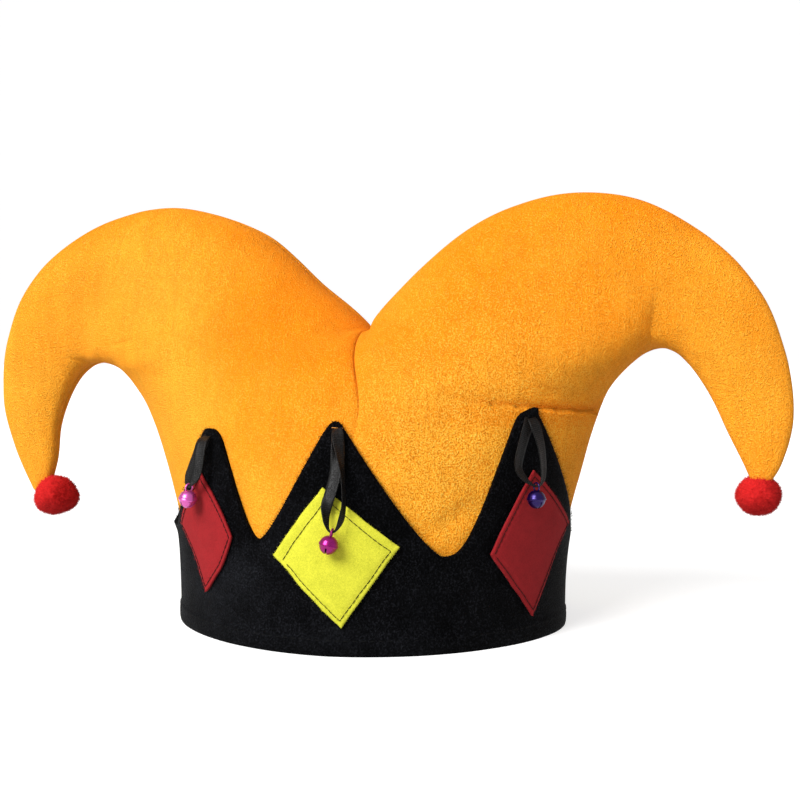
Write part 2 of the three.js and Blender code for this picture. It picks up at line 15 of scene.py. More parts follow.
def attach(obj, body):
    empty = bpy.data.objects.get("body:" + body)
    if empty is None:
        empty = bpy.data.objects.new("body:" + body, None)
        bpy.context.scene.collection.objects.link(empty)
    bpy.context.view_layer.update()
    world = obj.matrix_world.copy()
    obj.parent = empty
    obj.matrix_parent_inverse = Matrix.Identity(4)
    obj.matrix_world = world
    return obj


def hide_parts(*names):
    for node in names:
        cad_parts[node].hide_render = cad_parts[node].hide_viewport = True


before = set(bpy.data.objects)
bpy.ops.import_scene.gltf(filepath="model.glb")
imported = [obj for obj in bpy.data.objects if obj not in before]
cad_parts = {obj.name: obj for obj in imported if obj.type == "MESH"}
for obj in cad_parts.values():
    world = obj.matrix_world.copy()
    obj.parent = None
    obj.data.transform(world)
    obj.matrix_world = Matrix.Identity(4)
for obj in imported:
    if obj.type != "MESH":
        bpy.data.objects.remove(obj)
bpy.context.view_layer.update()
BODY = "root"
LOG = logging.getLogger("jester_hat")
# Values stored on the meshes: the pile's lean with painted shade and light, the strength of painted glints
# and gap shade, and length along a ribbon
NAP_AND_LIGHT = "nap"
GLINT_STRENGTH = "grain"
WEFT = "weft"

# Nearly all of a noise node's values lie in this range
NOISE_RANGE = (0.3, 0.7)
# Step from one noise pattern to the next, off the noise's own grid
PATTERN_STEP = (7.3, 3.1, 5.7)
# Least length that a direction is divided by
SHORTEST = 1e-12

Array = np.ndarray
Socket = bpy.types.NodeSocket
Profile = Sequence[tuple[float, float]]


class Side(Enum):
    """The half of the hat that a horn belongs to, with the sign of its X."""

    RIGHT = 1
    LEFT = -1


class Facing(Enum):
    """The hat's front or back, with the sign of its Y."""

    FRONT = -1
    BACK = 1


class FoldKind(Enum):
    """How a fold's sides fall away from its line."""

    SOFT = "soft"
    CREASE = "crease"
    TUCK = "tuck"


class FeltColour(Enum):
    """Felt that a diamond is cut from."""

    YELLOW = "yellow"
    RED = "red"


class BellTint(Enum):
    """Lacquer on a bell."""

    MAGENTA = "magenta"
    VIOLET = "violet"
    PINK = "pink"


class PatchEdge(Enum):
    """How a patch of changed colour ends, with the power that it falls off by."""

    SOFT = 2
    CLEAR = 4


# Small helpers for arrays and meshes


def unit(vectors: Array) -> Array:
    """Gives vectors a length of one."""
    return vectors / np.maximum(np.linalg.norm(vectors, axis=-1, keepdims=True), SHORTEST)


def reach_along(line: Array) -> Array:
    """Length of a line up to each of its points."""
    return np.concatenate([[0], np.cumsum(np.linalg.norm(np.diff(line, axis=0), axis=1))])


def column_at(values: Array, at: Array) -> Array:
    """Reads a table's column at fractional rows, on a smooth curve through the rows.

    Args:
        values: The column.
        at: Fractional rows.

    Returns:
        The column's value at each of them.
    """
    last = len(values) - 1
    row = np.minimum(np.floor(at).astype(int), last - 1)
    share = at - row
    before, start, end, after = (values[np.clip(row + step, 0, last)] for step in (-1, 0, 1, 2))
    start_slope = (end - before) / 2
    end_slope = (after - start) / 2
    square = 3 * (end - start) - 2 * start_slope - end_slope
    cube = start_slope + end_slope - 2 * (end - start)
    return start + share * (start_slope + share * (square + share * cube))


def quarter_oval(share: Array, roundness: float) -> Array:
    """Height of a unit quarter oval above a share of its width."""
    return np.maximum(1 - np.asarray(share) ** roundness, 0) ** (1 / roundness)


def soft_noise(points: Array, grain: float, seed: int) -> Array:
    """Smooth noise from about -1 to 1 at points in space, with lumps of a size, in one of many patterns."""
    flat = points.reshape(-1, 3) / grain + np.array(PATTERN_STEP) * seed
    return np.array([noise.noise(Vector(place)) for place in flat]).reshape(points.shape[:-1])


class Mottle(NamedTuple):
    """A layer of soft noise: its strength, the size of its lumps and the number that picks its pattern."""

    strength: float
    grain: float
    seed: int

    def at(self, points: Array) -> Array:
        """The layer's values at points in space."""
        return self.strength * soft_noise(points, self.grain, self.seed)


def closed_wall(outer: Array, inner: Array, ring: bool = False) -> tuple[Array, Array, Array]:
    """Joins two grids of points into one closed wall.

    Args:
        outer: Rows and columns of points on the outer face.
        inner: The same on the inner face.
        ring: Whether the last row meets the first.

    Returns:
        The points, the four-sided faces and, for each face, whether it lies on the inner side.
    """
    rows, columns = outer.shape[:2]
    index = np.arange(rows * columns).reshape(rows, columns)
    if ring:
        index = np.vstack([index, index[:1]])
    corners = (index[:-1, :-1], index[1:, :-1], index[1:, 1:], index[:-1, 1:])
    face = np.stack([corner.ravel() for corner in corners], axis=1)
    edges = [index[:, 0], index[::-1, -1]]
    if not ring:
        edges += [index[-1], index[0, ::-1]]
    pairs = np.concatenate([np.stack([edge[:-1], edge[1:]], axis=1) for edge in edges])
    back = rows * columns
    rim = np.stack([pairs[:, 1], pairs[:, 0], pairs[:, 0] + back, pairs[:, 1] + back], axis=1)
    faces = np.concatenate([face, face[:, ::-1] + back, rim])
    points = np.concatenate([outer.reshape(-1, 3), inner.reshape(-1, 3)])
    inside = np.zeros(len(faces), int)
    inside[len(face) : 2 * len(face)] = 1
    a, b, c, d = (points[faces[:, corner]] for corner in range(4))
    volume = np.einsum("ij,ij->", a, np.cross(b, c)) + np.einsum("ij,ij->", a, np.cross(c, d))
    return points, faces if volume > 0 else faces[:, ::-1], inside


def make_mesh(name: str, points: Array, faces: Array, slots: Array | None = None) -> bpy.types.Mesh:
    """Makes a smooth mesh from arrays.

    Args:
        name: The mesh's name.
        points: One row of X, Y and Z for each point.
        faces: One row of point numbers for each face, all with the same count.
        slots: Each face's material slot, or None where all use the first.

    Returns:
        The new mesh.
    """
    mesh = bpy.data.meshes.new(name)
    corners = faces.shape[1]
    mesh.vertices.add(len(points))
    mesh.vertices.foreach_set("co", np.ascontiguousarray(points, np.float32).ravel())
    mesh.loops.add(faces.size)
    mesh.loops.foreach_set("vertex_index", np.ascontiguousarray(faces, np.int32).ravel())
    mesh.polygons.add(len(faces))
    mesh.polygons.foreach_set("loop_start", np.arange(0, faces.size, corners, dtype=np.int32))
    if slots is not None:
        mesh.polygons.foreach_set("material_index", slots.astype(np.int32))
    mesh.update(calc_edges=True)
    mesh.validate()
    mesh.shade_smooth()
    return mesh


def ball_grid(cells: int) -> tuple[Array, Array]:
    """Makes a unit ball of even cells, as a cube blown up.

    Args:
        cells: Cells along each edge of the cube.

    Returns:
        Its points and faces.
    """
    share = np.tan(np.linspace(-math.pi / 4, math.pi / 4, cells + 1))
    one, other = np.meshgrid(share, share, indexing="ij")
    size = len(share)
    index = np.arange(size * size).reshape(size, size)
    cell = np.stack([index[:-1, :-1], index[1:, :-1], index[1:, 1:], index[:-1, 1:]], axis=-1).reshape(-1, 4)
    points, faces = [], []
    for axis in range(3):
        for sign in (1, -1):
            sheet = np.empty((size, size, 3))
            sheet[..., axis] = sign
            sheet[..., (axis + 1) % 3] = one * sign
            sheet[..., (axis + 2) % 3] = other
            faces.append(cell + size * size * len(points))
            points.append(sheet.reshape(-1, 3))
    kept, spot = np.unique(np.round(unit(np.concatenate(points)), 6), axis=0, return_inverse=True)
    return unit(kept), spot.reshape(-1)[np.concatenate(faces)]


def mark_points(mesh: bpy.types.Mesh, name: str, values: Array) -> None:
    """Stores one number for each point of a mesh, for its material to read."""
    layer = mesh.attributes.new(name, "FLOAT", "POINT")
    layer.data.foreach_set("value", np.ascontiguousarray(values, np.float32))


def add_piece(
    name: str,
    mesh: bpy.types.Mesh,
    materials: Sequence[bpy.types.Material],
    replaces: Sequence[str] = (),
) -> bpy.types.Object:
    """Puts a finished mesh on the hat.

    Args:
        name: The piece's name.
        mesh: Its mesh, in place.
        materials: One material for each of its slots.
        replaces: The frame's nodes that it stands for.

    Returns:
        The new object.
    """
    piece = bpy.data.objects.new(name, mesh)
    bpy.context.scene.collection.objects.link(piece)
    for material in materials:
        mesh.materials.append(material)
    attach(piece, BODY)
    if replaces:
        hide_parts(*replaces)
    return piece


# Finishes


def linear(colour: str) -> tuple[float, float, float, float]:
    """Turns an sRGB hex colour into linear light.

    Args:
        colour: The colour as #rrggbb.

    Returns:
        Red, green and blue from 0 to 1, and a full alpha.
    """
    parts = [int(colour[place : place + 2], 16) / 255 for place in (1, 3, 5)]
    # The standard sRGB curve
    red, green, blue = (
        part / 12.92 if part <= 0.04045 else ((part + 0.055) / 1.055) ** 2.4 for part in parts
    )
    return red, green, blue, 1.0


def add_node(
    tree: bpy.types.NodeTree, kind: str, settings: dict[str | int, object] | None = None
) -> bpy.types.Node:
    """Adds a node to a material.

    Args:
        tree: The material's nodes.
        kind: The node's type.
        settings: Values or feeding sockets for its inputs, by name or number, and values for its properties.

    Returns:
        The new node.
    """
    node = tree.nodes.new(kind)
    for key, value in (settings or {}).items():
        if isinstance(value, Socket):
            tree.links.new(value, node.inputs[key])
        elif isinstance(key, int) or key in node.inputs:
            node.inputs[key].default_value = value
        else:
            setattr(node, key, value)
    return node


def hat_places(tree: bpy.types.NodeTree) -> Socket:
    """Adds the places on the hat, in metres."""
    return add_node(tree, "ShaderNodeTexCoord").outputs["Object"]


def stored(tree: bpy.types.NodeTree, name: str) -> Socket:
    """Adds a number that the mesh holds for each of its points."""
    return add_node(tree, "ShaderNodeAttribute", {"attribute_name": name}).outputs["Fac"]


def worked_out(tree: bpy.types.NodeTree, operation: str, *numbers: float | Socket) -> Socket:
    """Adds one step of arithmetic on numbers and sockets."""
    settings = {"operation": operation, **dict(enumerate(numbers))}
    return add_node(tree, "ShaderNodeMath", settings).outputs["Value"]


def lumps(
    tree: bpy.types.NodeTree,
    place: Socket,
    size: float,
    detail: float = 2.0,
    roughness: float = 0.5,
    stir: float = 0.0,
) -> Socket:
    """Adds cloudy noise with lumps of a real size.

    Args:
        tree: The material's nodes.
        place: The places to read it at.
        size: Size of a lump, in metres.
        detail: Levels of finer lumps in it.
        roughness: Strength of the finer lumps.
        stir: How far the lumps are stirred.

    Returns:
        The noise, from 0 to 1.
    """
    settings = {
        "Vector": place, "Scale": 1 / size, "Detail": detail, "Roughness": roughness, "Distortion": stir,
    }
    return add_node(tree, "ShaderNodeTexNoise", settings).outputs["Fac"]


def ranged(
    tree: bpy.types.NodeTree,
    value: Socket,
    source: tuple[float, float],
    start: float | Socket = 0.0,
    end: float | Socket = 1.0,
) -> Socket:
    """Adds a map of a number from its source range to a range from start to end, held at both ends."""
    settings = {"Value": value, "From Min": source[0], "From Max": source[1], "To Min": start, "To Max": end}
    return add_node(tree, "ShaderNodeMapRange", settings).outputs["Result"]


def blended(tree: bpy.types.NodeTree, share: Socket, first: str | Socket, second: str) -> Socket:
    """Adds a blend of two colours.

    Args:
        tree: The material's nodes.
        share: The second colour's share.
        first: The first colour, as hex or from another node.
        second: The second colour, as hex.

    Returns:
        The blended colour.
    """
    base = linear(first) if isinstance(first, str) else first
    # The node has sockets for several kinds of data, and these numbers are those for colours
    settings = {"data_type": "RGBA", 0: share, 6: base, 7: linear(second)}
    return add_node(tree, "ShaderNodeMix", settings).outputs[2]


def relief(tree: bpy.types.NodeTree, height: Socket, depth: float, strength: float) -> Socket:
    """Adds the normals of a surface with fine relief, from its height as a share of a depth in metres."""
    settings = {"Height": height, "Distance": depth, "Strength": strength}
    return add_node(tree, "ShaderNodeBump", settings).outputs["Normal"]


@dataclass(frozen=True)
class Finish:
    """A surface that starts from an even colour, with its shader's fixed numbers."""

    name: str
    colour: str
    roughness: float
    metallic: float = 0.0
    specular: float = 0.5
    sheen: float = 0.0
    sheen_roughness: float = 0.5
    sheen_colour: str = "#ffffff"
    coat: float = 0.0
    coat_roughness: float = 0.1

    def start(self) -> tuple[bpy.types.Material, bpy.types.NodeTree, bpy.types.Node]:
        """Makes the material with its shader.

        Returns:
            The material, its nodes and its shader.
        """
        material = bpy.data.materials.new(self.name)
        material.use_nodes = True
        tree = material.node_tree
        tree.nodes.clear()
        shader = add_node(
            tree,
            "ShaderNodeBsdfPrincipled",
            {
                "Base Color": linear(self.colour),
                "Roughness": self.roughness,
                "Metallic": self.metallic,
                "Specular IOR Level": self.specular,
                "Sheen Weight": self.sheen,
                "Sheen Roughness": self.sheen_roughness,
                "Sheen Tint": linear(self.sheen_colour),
                "Coat Weight": self.coat,
                "Coat Roughness": self.coat_roughness,
            },
        )
        add_node(tree, "ShaderNodeOutputMaterial", {"Surface": shader.outputs["BSDF"]})
        return material, tree, shader

    def material(self) -> bpy.types.Material:
        """Makes the finished material."""
        return self.start()[0]


@dataclass(frozen=True)
class CutPile(Finish):
    """Knitted cloth with a cut pile: plush velour and velvet.

    Painted highlights on the tufts and painted shade between them give the colour a fine grain, stronger
    where the mesh stores a higher glint strength, which stands for light grazing the cloth. A share that the
    mesh
    stores blends towards a second colour: partly the pile's real lean, partly painted shade and painted
    light.
    Faint streaks follow the knit's columns.
    """

    # The gap colour is painted shade between the tufts, the tip colour painted highlights on them, and the
    # root colour partly painted shade and light
    gap_shade_colour: str = "#000000"
    tip_glint_colour: str = "#ffffff"
    nap_and_light_colour: str = "#000000"
    tuft: float = 0.0007
    streak: tuple[float, float] = (0.0035, 0.09)
    streak_strength: float = 0.05
    patch: float = 0.03
    patch_strength: float = 0.06
    gap_shade_share: float = 0.8
    tip_glint_share: float = 0.8
    gap_shade_range: tuple[float, float] = (0.37, 0.5)
    tip_glint_range: tuple[float, float] = (0.52, 0.65)
    depth: float = 0.0022
    bump: float = 0.9

    def material(self) -> bpy.types.Material:
        """Makes the finished material.

        Returns:
            The new material.
        """
        material, tree, shader = self.start()
        place = hat_places(tree)
        nap, glint_strength = stored(tree, NAP_AND_LIGHT), stored(tree, GLINT_STRENGTH)
        tuft = lumps(tree, place, self.tuft, roughness=0.6)
        patch = lumps(tree, place, self.patch, roughness=0.55)
        wide, long = self.streak
        knit = {"Vector": place, "Scale": (1 / wide, 1 / wide, 1 / long)}
        columns = add_node(tree, "ShaderNodeMapping", knit).outputs["Vector"]
        streak = lumps(tree, columns, 1.0)
        gap_shade_share, tip_glint_share = (
            ranged(tree, glint_strength, (0.0, 1.0), 0.0, share) for share in (self.gap_shade_share, self.tip_glint_share)
        )
        # Painted shade between the tufts and painted highlights on them, scaled by the stored glint strength
        gap_shade = ranged(tree, tuft, self.gap_shade_range, gap_shade_share, 0.0)
        tip_glint = ranged(tree, tuft, self.tip_glint_range, 0.0, tip_glint_share)
        # Blend towards the second colour by the stored share of the pile's lean with painted shade and light
        nap_and_light_mix = blended(tree, nap, self.colour, self.nap_and_light_colour)
        gap_shaded = blended(tree, gap_shade, nap_and_light_mix, self.gap_shade_colour)
        lit = blended(tree, tip_glint, gap_shaded, self.tip_glint_colour)
        brushed, streaked = (
            ranged(tree, pattern, NOISE_RANGE, 1 - strength, 1 + strength)
            for pattern, strength in ((patch, self.patch_strength), (streak, self.streak_strength))
        )
        shade = {"Color": lit, "Value": worked_out(tree, "MULTIPLY", brushed, streaked)}
        shaded = add_node(tree, "ShaderNodeHueSaturation", shade).outputs["Color"]
        tree.links.new(shaded, shader.inputs["Base Color"])
        tree.links.new(relief(tree, tuft, self.depth, self.bump), shader.inputs["Normal"])
        return material


@dataclass(frozen=True)
class PressedFelt(Finish):
    """Felt of matted fibres, pressed flat: matt, with a fine tangle and faint cloudy thin places."""

    # Clumps of the tangle, because single fibres are far too fine to show
    fibre: float = 0.0006
    cloud: float = 0.006
    cloud_share: float = 0.25
    dark_colour: str = "#000000"
    thin_share: float = 0.85
    thin_range: tuple[float, float] = (0.4, 0.72)
    depth: float = 0.0003
    bump: float = 0.5

    def material(self) -> bpy.types.Material:
        """Makes the finished material.

        Returns:
            The new material.
        """
        material, tree, shader = self.start()
        place = hat_places(tree)
        fibre = lumps(tree, place, self.fibre, detail=4.0, roughness=0.7, stir=1.2)
        cloud = lumps(tree, place, self.cloud, detail=3.0)
        mottle = worked_out(tree, "MULTIPLY_ADD", cloud, self.cloud_share, fibre)
        thin = ranged(tree, mottle, self.thin_range, self.thin_share, 0.0)
        colour = blended(tree, thin, self.colour, self.dark_colour)
        tree.links.new(colour, shader.inputs["Base Color"])
        tree.links.new(relief(tree, fibre, self.depth, self.bump), shader.inputs["Normal"])
        return material


@dataclass(frozen=True)
class TrimmedWool(Finish):
    """Ends of woollen yarn, trimmed close: matt and soft, with a slightly different red in each end."""

    deep_colour: str = "#000000"

    def material(self) -> bpy.types.Material:
        """Makes the finished material.

        Returns:
            The new material.
        """
        material, tree, shader = self.start()
        colour = blended(tree, stored(tree, NAP_AND_LIGHT), self.colour, self.deep_colour)
        tree.links.new(colour, shader.inputs["Base Color"])
        return material


@dataclass(frozen=True)
class WovenSatin(Finish):
    """Narrow polyester satin ribbon: smooth floats along its length give a soft streaky shine, painted into
    its colour.
    """

    # The real weft is about 0.3 mm apart, too fine to show, so it is drawn coarser
    weft: float = 0.0009
    speck: float = 0.0005
    # Colour of the painted highlight streaks
    shine_colour: str = "#211f1e"
    caught_range: tuple[float, float] = (0.44, 0.58)
    depth: float = 0.0002
    bump: float = 0.7

    def material(self) -> bpy.types.Material:
        """Makes the finished material.

        Returns:
            The new material.
        """
        material, tree, shader = self.start()
        # Painted highlights: lighter bands along the weft, where its floats catch the light
        turns = worked_out(tree, "MULTIPLY", stored(tree, WEFT), math.tau / self.weft)
        grain = ranged(tree, worked_out(tree, "SINE", turns), (-1.0, 1.0))
        floats = lumps(tree, hat_places(tree), self.speck, detail=1.0)
        caught = ranged(tree, floats, self.caught_range)
        shine = worked_out(tree, "MULTIPLY", grain, caught)
        colour = blended(tree, shine, self.colour, self.shine_colour)
        tree.links.new(colour, shader.inputs["Base Color"])
        tree.links.new(relief(tree, shine, self.depth, self.bump), shader.inputs["Normal"])
        return material


@dataclass(frozen=True)
class TintedLacquer(Finish):
    """Stamped tin dipped in clear tinted lacquer: a soft metal shine under a glossy, slightly uneven coat."""

    ripple: float = 0.002
    smoothest: float = 0.8
    roughest: float = 1.3

    def material(self) -> bpy.types.Material:
        """Makes the finished material.

        Returns:
            The new material.
        """
        material, tree, shader = self.start()
        pooled = lumps(tree, hat_places(tree), self.ripple)
        low, high = self.roughness * self.smoothest, self.roughness * self.roughest
        tree.links.new(ranged(tree, pooled, NOISE_RANGE, low, high), shader.inputs["Roughness"])
        return material


@dataclass(frozen=True)
class Finishes:
    """Every material of the hat, made once."""

    plush: bpy.types.Material
    backing: bpy.types.Material
    velvet: bpy.types.Material
    felt: dict[FeltColour, bpy.types.Material]
    ribbon: bpy.types.Material
    bell: dict[BellTint, bpy.types.Material]
    wool: bpy.types.Material
    thread: bpy.types.Material
    gold_thread: bpy.types.Material

    @classmethod
    def make(cls) -> "Finishes":
        """Makes the hat's materials.

        Returns:
            All of them.
        """
        felt = {
            FeltColour.YELLOW: PressedFelt(
                "yellow_felt_pressed", "#cac738", 0.95, specular=0.15, sheen=0.05, sheen_colour="#f6f38a",
                dark_colour="#90931a",
            ),
            FeltColour.RED: PressedFelt(
                "red_felt_pressed", "#8e1b1f", 0.95, specular=0.15, sheen=0.04, sheen_colour="#c8494a",
                dark_colour="#6d1114",
            ),
        }
        tints = {BellTint.MAGENTA: "#900f68", BellTint.VIOLET: "#1d084c", BellTint.PINK: "#cf5cab"}
        bells = {
            tint: TintedLacquer(f"{tint.value}_lacquered_tin", colour, 0.3, metallic=0.8, coat=0.2)
            for tint, colour in tints.items()
        }
        return cls(
            # Its gap colour is painted shade, its tip colour painted highlights and its root colour partly
            # painted shade and light
            plush=CutPile(
                "orange_velour_cut_pile", "#ffaa2c", 0.95, specular=0.08, sheen=0.35, sheen_roughness=0.5,
                sheen_colour="#ffa52c", nap_and_light_colour="#ff8c0a", gap_shade_colour="#cf6903", tip_glint_colour="#ffcf58",
            ).material(),
            # The knit behind the pile, which shows only inside the hat: flat and dull
            backing=PressedFelt(
                "orange_knit_backing", "#d98a2c", 0.95, specular=0.1, dark_colour="#a8641a", fibre=0.0009
            ).material(),
            # Velvet's real tufts are about 0.3 mm wide, too fine to show, so they are drawn coarser
            # Its tip and root colours are painted grey sheen, and its gap colour painted shade
            velvet=CutPile(
                "black_velvet_cut_pile", "#040405", 0.6, specular=0.02, gap_shade_colour="#010101",
                tip_glint_colour="#1f2024", nap_and_light_colour="#141518", tuft=0.0009, patch=0.014, patch_strength=0.5,
                streak_strength=0.12,
            ).material(),
            felt={colour: finish.material() for colour, finish in felt.items()},
            ribbon=WovenSatin("black_satin_ribbon", "#040404", 0.38, specular=0.16).material(),
            bell={tint: finish.material() for tint, finish in bells.items()},
            wool=TrimmedWool(
                "red_wool_trimmed", "#d42c2a", 0.95, specular=0.08, sheen=0.3, sheen_colour="#d8302c",
                deep_colour="#a31517",
            ).material(),
            # Dull spun thread, which sinks into the velvet and draws a thin dark line on the felt
            thread=Finish("black_polyester_thread", "#070707", 0.7, specular=0.1).material(),
            # The plush's own thread with a slight shine, at the one tack where it shows
            gold_thread=Finish("orange_polyester_thread", "#c8802a", 0.55).material(),
        )


# The crown's outer face, which everything else is laid on


class HornSection(NamedTuple):
    """One section of a horn on its own side of the hat: its ridge seam, its under seam and half its depth."""

    ridge_x: float
    ridge_z: float
    under_x: float
    under_z: float
    fullness: float


HORNS = {
    Side.RIGHT: (
        HornSection(0.0, 0.0, 0.097, 0.0, 0.0716),
        HornSection(0.0, 0.04, 0.099, 0.04, 0.0703),
        HornSection(0.0, 0.075, 0.107, 0.075, 0.0656),
        HornSection(0.0, 0.105, 0.116, 0.105, 0.059),
        HornSection(0.0, 0.13, 0.1215, 0.119, 0.0545),
        HornSection(0.0, 0.148, 0.1275, 0.1268, 0.049),
        HornSection(0.0255, 0.1765, 0.135, 0.1338, 0.0425),
        HornSection(0.0575, 0.2013, 0.141, 0.1373, 0.0355),
        HornSection(0.096, 0.2138, 0.1465, 0.1385, 0.0295),
        HornSection(0.1323, 0.2115, 0.151, 0.1375, 0.0215),
        HornSection(0.1658, 0.1943, 0.156, 0.1342, 0.0168),
        HornSection(0.191, 0.1686, 0.163, 0.126, 0.0132),
        HornSection(0.205, 0.1363, 0.1715, 0.1125, 0.0106),
        HornSection(0.2088, 0.106, 0.179, 0.0965, 0.0082),
        HornSection(0.2042, 0.0843, 0.1855, 0.083, 0.0066),
        HornSection(0.1975, 0.0725, 0.1895, 0.074, 0.0045),
    ),
    Side.LEFT: (
        HornSection(0.0, 0.0, 0.097, 0.0, 0.0716),
        HornSection(0.0, 0.04, 0.0985, 0.04, 0.0703),
        HornSection(0.0, 0.075, 0.1075, 0.075, 0.0656),
        HornSection(0.0, 0.105, 0.119, 0.105, 0.059),
        HornSection(0.0, 0.13, 0.1275, 0.118, 0.0545),
        HornSection(0.0, 0.148, 0.1335, 0.125, 0.049),
        HornSection(0.0268, 0.1716, 0.1388, 0.1287, 0.0425),
        HornSection(0.0576, 0.198, 0.1438, 0.13, 0.0355),
        HornSection(0.096, 0.2108, 0.1487, 0.1301, 0.0295),
        HornSection(0.1317, 0.2082, 0.1538, 0.1294, 0.0215),
        HornSection(0.164, 0.1946, 0.159, 0.1265, 0.0168),
        HornSection(0.1885, 0.1732, 0.1648, 0.12, 0.0132),
        HornSection(0.2028, 0.1437, 0.1705, 0.109, 0.0106),
        HornSection(0.2063, 0.112, 0.175, 0.0945, 0.0082),
        HornSection(0.2005, 0.0843, 0.177, 0.078, 0.0066),
        HornSection(0.19, 0.0605, 0.1805, 0.065, 0.0045),
    ),
}


@dataclass(frozen=True)
class CrownShape:
    """The crown and its horns as one formula, read by section and by turn from ridge to under seam."""

    rim_half_depth: float = 0.0854
    rim_roundness: float = 1.85
    valley_height: float = 0.148
    dome_roundness: float = 2.4
    valley_row: int = 5
    flat_from: float = 3.0
    flat_to: float = 8.0
    flatness: float = 0.45
    slope_step: float = 0.05
    on_seam: float = 1e-9
    arc_steps: int = 400
    search_steps: int = 40

    def point(self, side: Side, at: Array, turn: Array) -> Array:
        """Finds points of a horn's outer face.

        Args:
            side: The horn.
            at: Fractional sections, from the rim to the tip.
            turn: Angles from 0 on the ridge to pi on the under seam.

        Returns:
            Points as outward, depth and up.
        """
        columns = np.array(HORNS[side]).T
        ridge_x, ridge_z, under_x, under_z, fullness = (column_at(column, at) for column in columns)
        ridge_x = np.maximum(ridge_x, 0)
        share = (1 - np.cos(turn)) / 2
        dome = quarter_oval(np.maximum(ridge_z, 0) / self.valley_height, self.dome_roundness)
        seam = np.where(at < self.valley_row, self.rim_half_depth * dome, 0)
        belly = fullness - seam * quarter_oval(0.5, self.rim_roundness)
        outward = ridge_x + (under_x - ridge_x) * share
        flatter = np.clip((at - self.flat_from) / (self.flat_to - self.flat_from), 0, 1)
        swell = np.sin(turn) ** (1 - self.flatness * flatter)
        depth = seam * quarter_oval(share, self.rim_roundness) + belly * swell
        return np.stack([outward, depth, ridge_z + (under_z - ridge_z) * share], axis=-1)

    def normal(self, side: Side, at: Array, turn: Array) -> Array:
        """Finds outward directions of a horn's face, which on a seam lie in the plane that its panels share.

        Args:
            side: The horn.
            at: Fractional sections.
            turn: Angles from the ridge.

        Returns:
            Directions as outward, depth and up.
        """
        last, step = len(HORNS[side]) - 1, self.slope_step
        after, before = np.minimum(at + step, last), np.maximum(at - step, 0)
        along = self.point(side, after, turn) - self.point(side, before, turn)
        lower, upper = np.minimum(turn + step, math.pi), np.maximum(turn - step, 0)
        across = self.point(side, at, lower) - self.point(side, at, upper)
        normal = np.cross(along, across)
        on_ridge = turn < self.on_seam
        on_under = turn > math.pi - self.on_seam
        normal[..., 0] = np.where(on_ridge & (at <= self.valley_row), 0, normal[..., 0])
        normal[..., 1] = np.where(on_under | (on_ridge & (at >= self.valley_row)), 0, normal[..., 1])
        return unit(normal)

    @cached_property
    def rim_arc(self) -> tuple[Array, Array]:
        """Turns at even steps over a quarter of the rim, with the length of rim up to each."""
        turns = np.linspace(0, math.pi, self.arc_steps + 1)
        return turns, reach_along(self.point(Side.RIGHT, np.zeros_like(turns), turns))

    @property
    def rim_length(self) -> float:
        """Length once round the crown's rim."""
        return 4 * self.rim_arc[1][-1]

    def place(self, along: Array, height: Array, stand_off: Array) -> tuple[Array, Array]:
        """Finds places on the crown, or standing off it.

        Args:
            along: Lengths round the rim from the front's middle towards +X.
            height: Heights above the rim.
            stand_off: Distances from the crown's face.

        Returns:
            The places and the outward directions there, in the hat's frame.
        """
        along, height, stand_off = np.broadcast_arrays(
            *(np.asarray(values, float) for values in (along, height, stand_off))
        )
        turns, lengths = self.rim_arc
        quarter_rim = lengths[-1]
        wrapped = along % self.rim_length
        quarter = np.minimum(wrapped // quarter_rim, 3).astype(int)
        past = wrapped - quarter * quarter_rim
        turn = np.interp(np.where(quarter % 2 == 1, quarter_rim - past, past), lengths, turns)
        points = np.empty((*along.shape, 3))
        normals = np.empty((*along.shape, 3))
        for side in Side:
            own = (quarter < 2) == (side is Side.RIGHT)
            low = np.zeros(own.sum())
            high = np.full(own.sum(), float(self.valley_row))
            for _ in range(self.search_steps):
                middle = (low + high) / 2
                below = self.point(side, middle, turn[own])[..., 2] < height[own]
                low = np.where(below, middle, low)
                high = np.where(below, high, middle)
            points[own] = self.point(side, low, turn[own])
            normals[own] = self.normal(side, low, turn[own])
        right = np.where(quarter < 2, 1, -1)
        behind = np.where((quarter == 1) | (quarter == 2), 1, -1)
        mirror = np.stack([right, behind, np.ones_like(right)], axis=-1)
        normals *= mirror
        return points * mirror + normals * stand_off[..., None], normals


# Loose fibres and sewing


@dataclass(frozen=True)
class Fuzz:
    """Short fibres that stand off a surface, each a slim three-sided spike."""

    length: float
    width: float
    spread: float
    seed: int
    shares: tuple[float, float] = (0.5, 1.25)
    corners: int = 4

    def mesh(self, name: str, roots: Array, outward: Array) -> bpy.types.Mesh:
        """Makes the fibres.

        Args:
            name: The mesh's name.
            roots: Where each fibre starts.
            outward: The way that it stands.

        Returns:
            One mesh with all of them.
        """
        draw = np.random.default_rng(self.seed)
        count = len(roots)
        way = unit(outward + self.spread * draw.normal(size=(count, 3)))
        side = unit(np.cross(way, draw.normal(size=(count, 3))))
        other = np.cross(way, side)
        length = self.length * draw.uniform(*self.shares, (count, 1))
        angles = np.arange(3) * math.tau / 3
        ring = [
            roots + self.width / 2 * (math.cos(angle) * side + math.sin(angle) * other) for angle in angles
        ]
        points = np.stack([*ring, roots + length * way], axis=1).reshape(-1, 3)
        spike = np.array([[0, 1, 3], [1, 2, 3], [2, 0, 3], [0, 2, 1]])
        faces = (spike[None] + self.corners * np.arange(count)[:, None, None]).reshape(-1, 3)
        return make_mesh(name, points, faces)


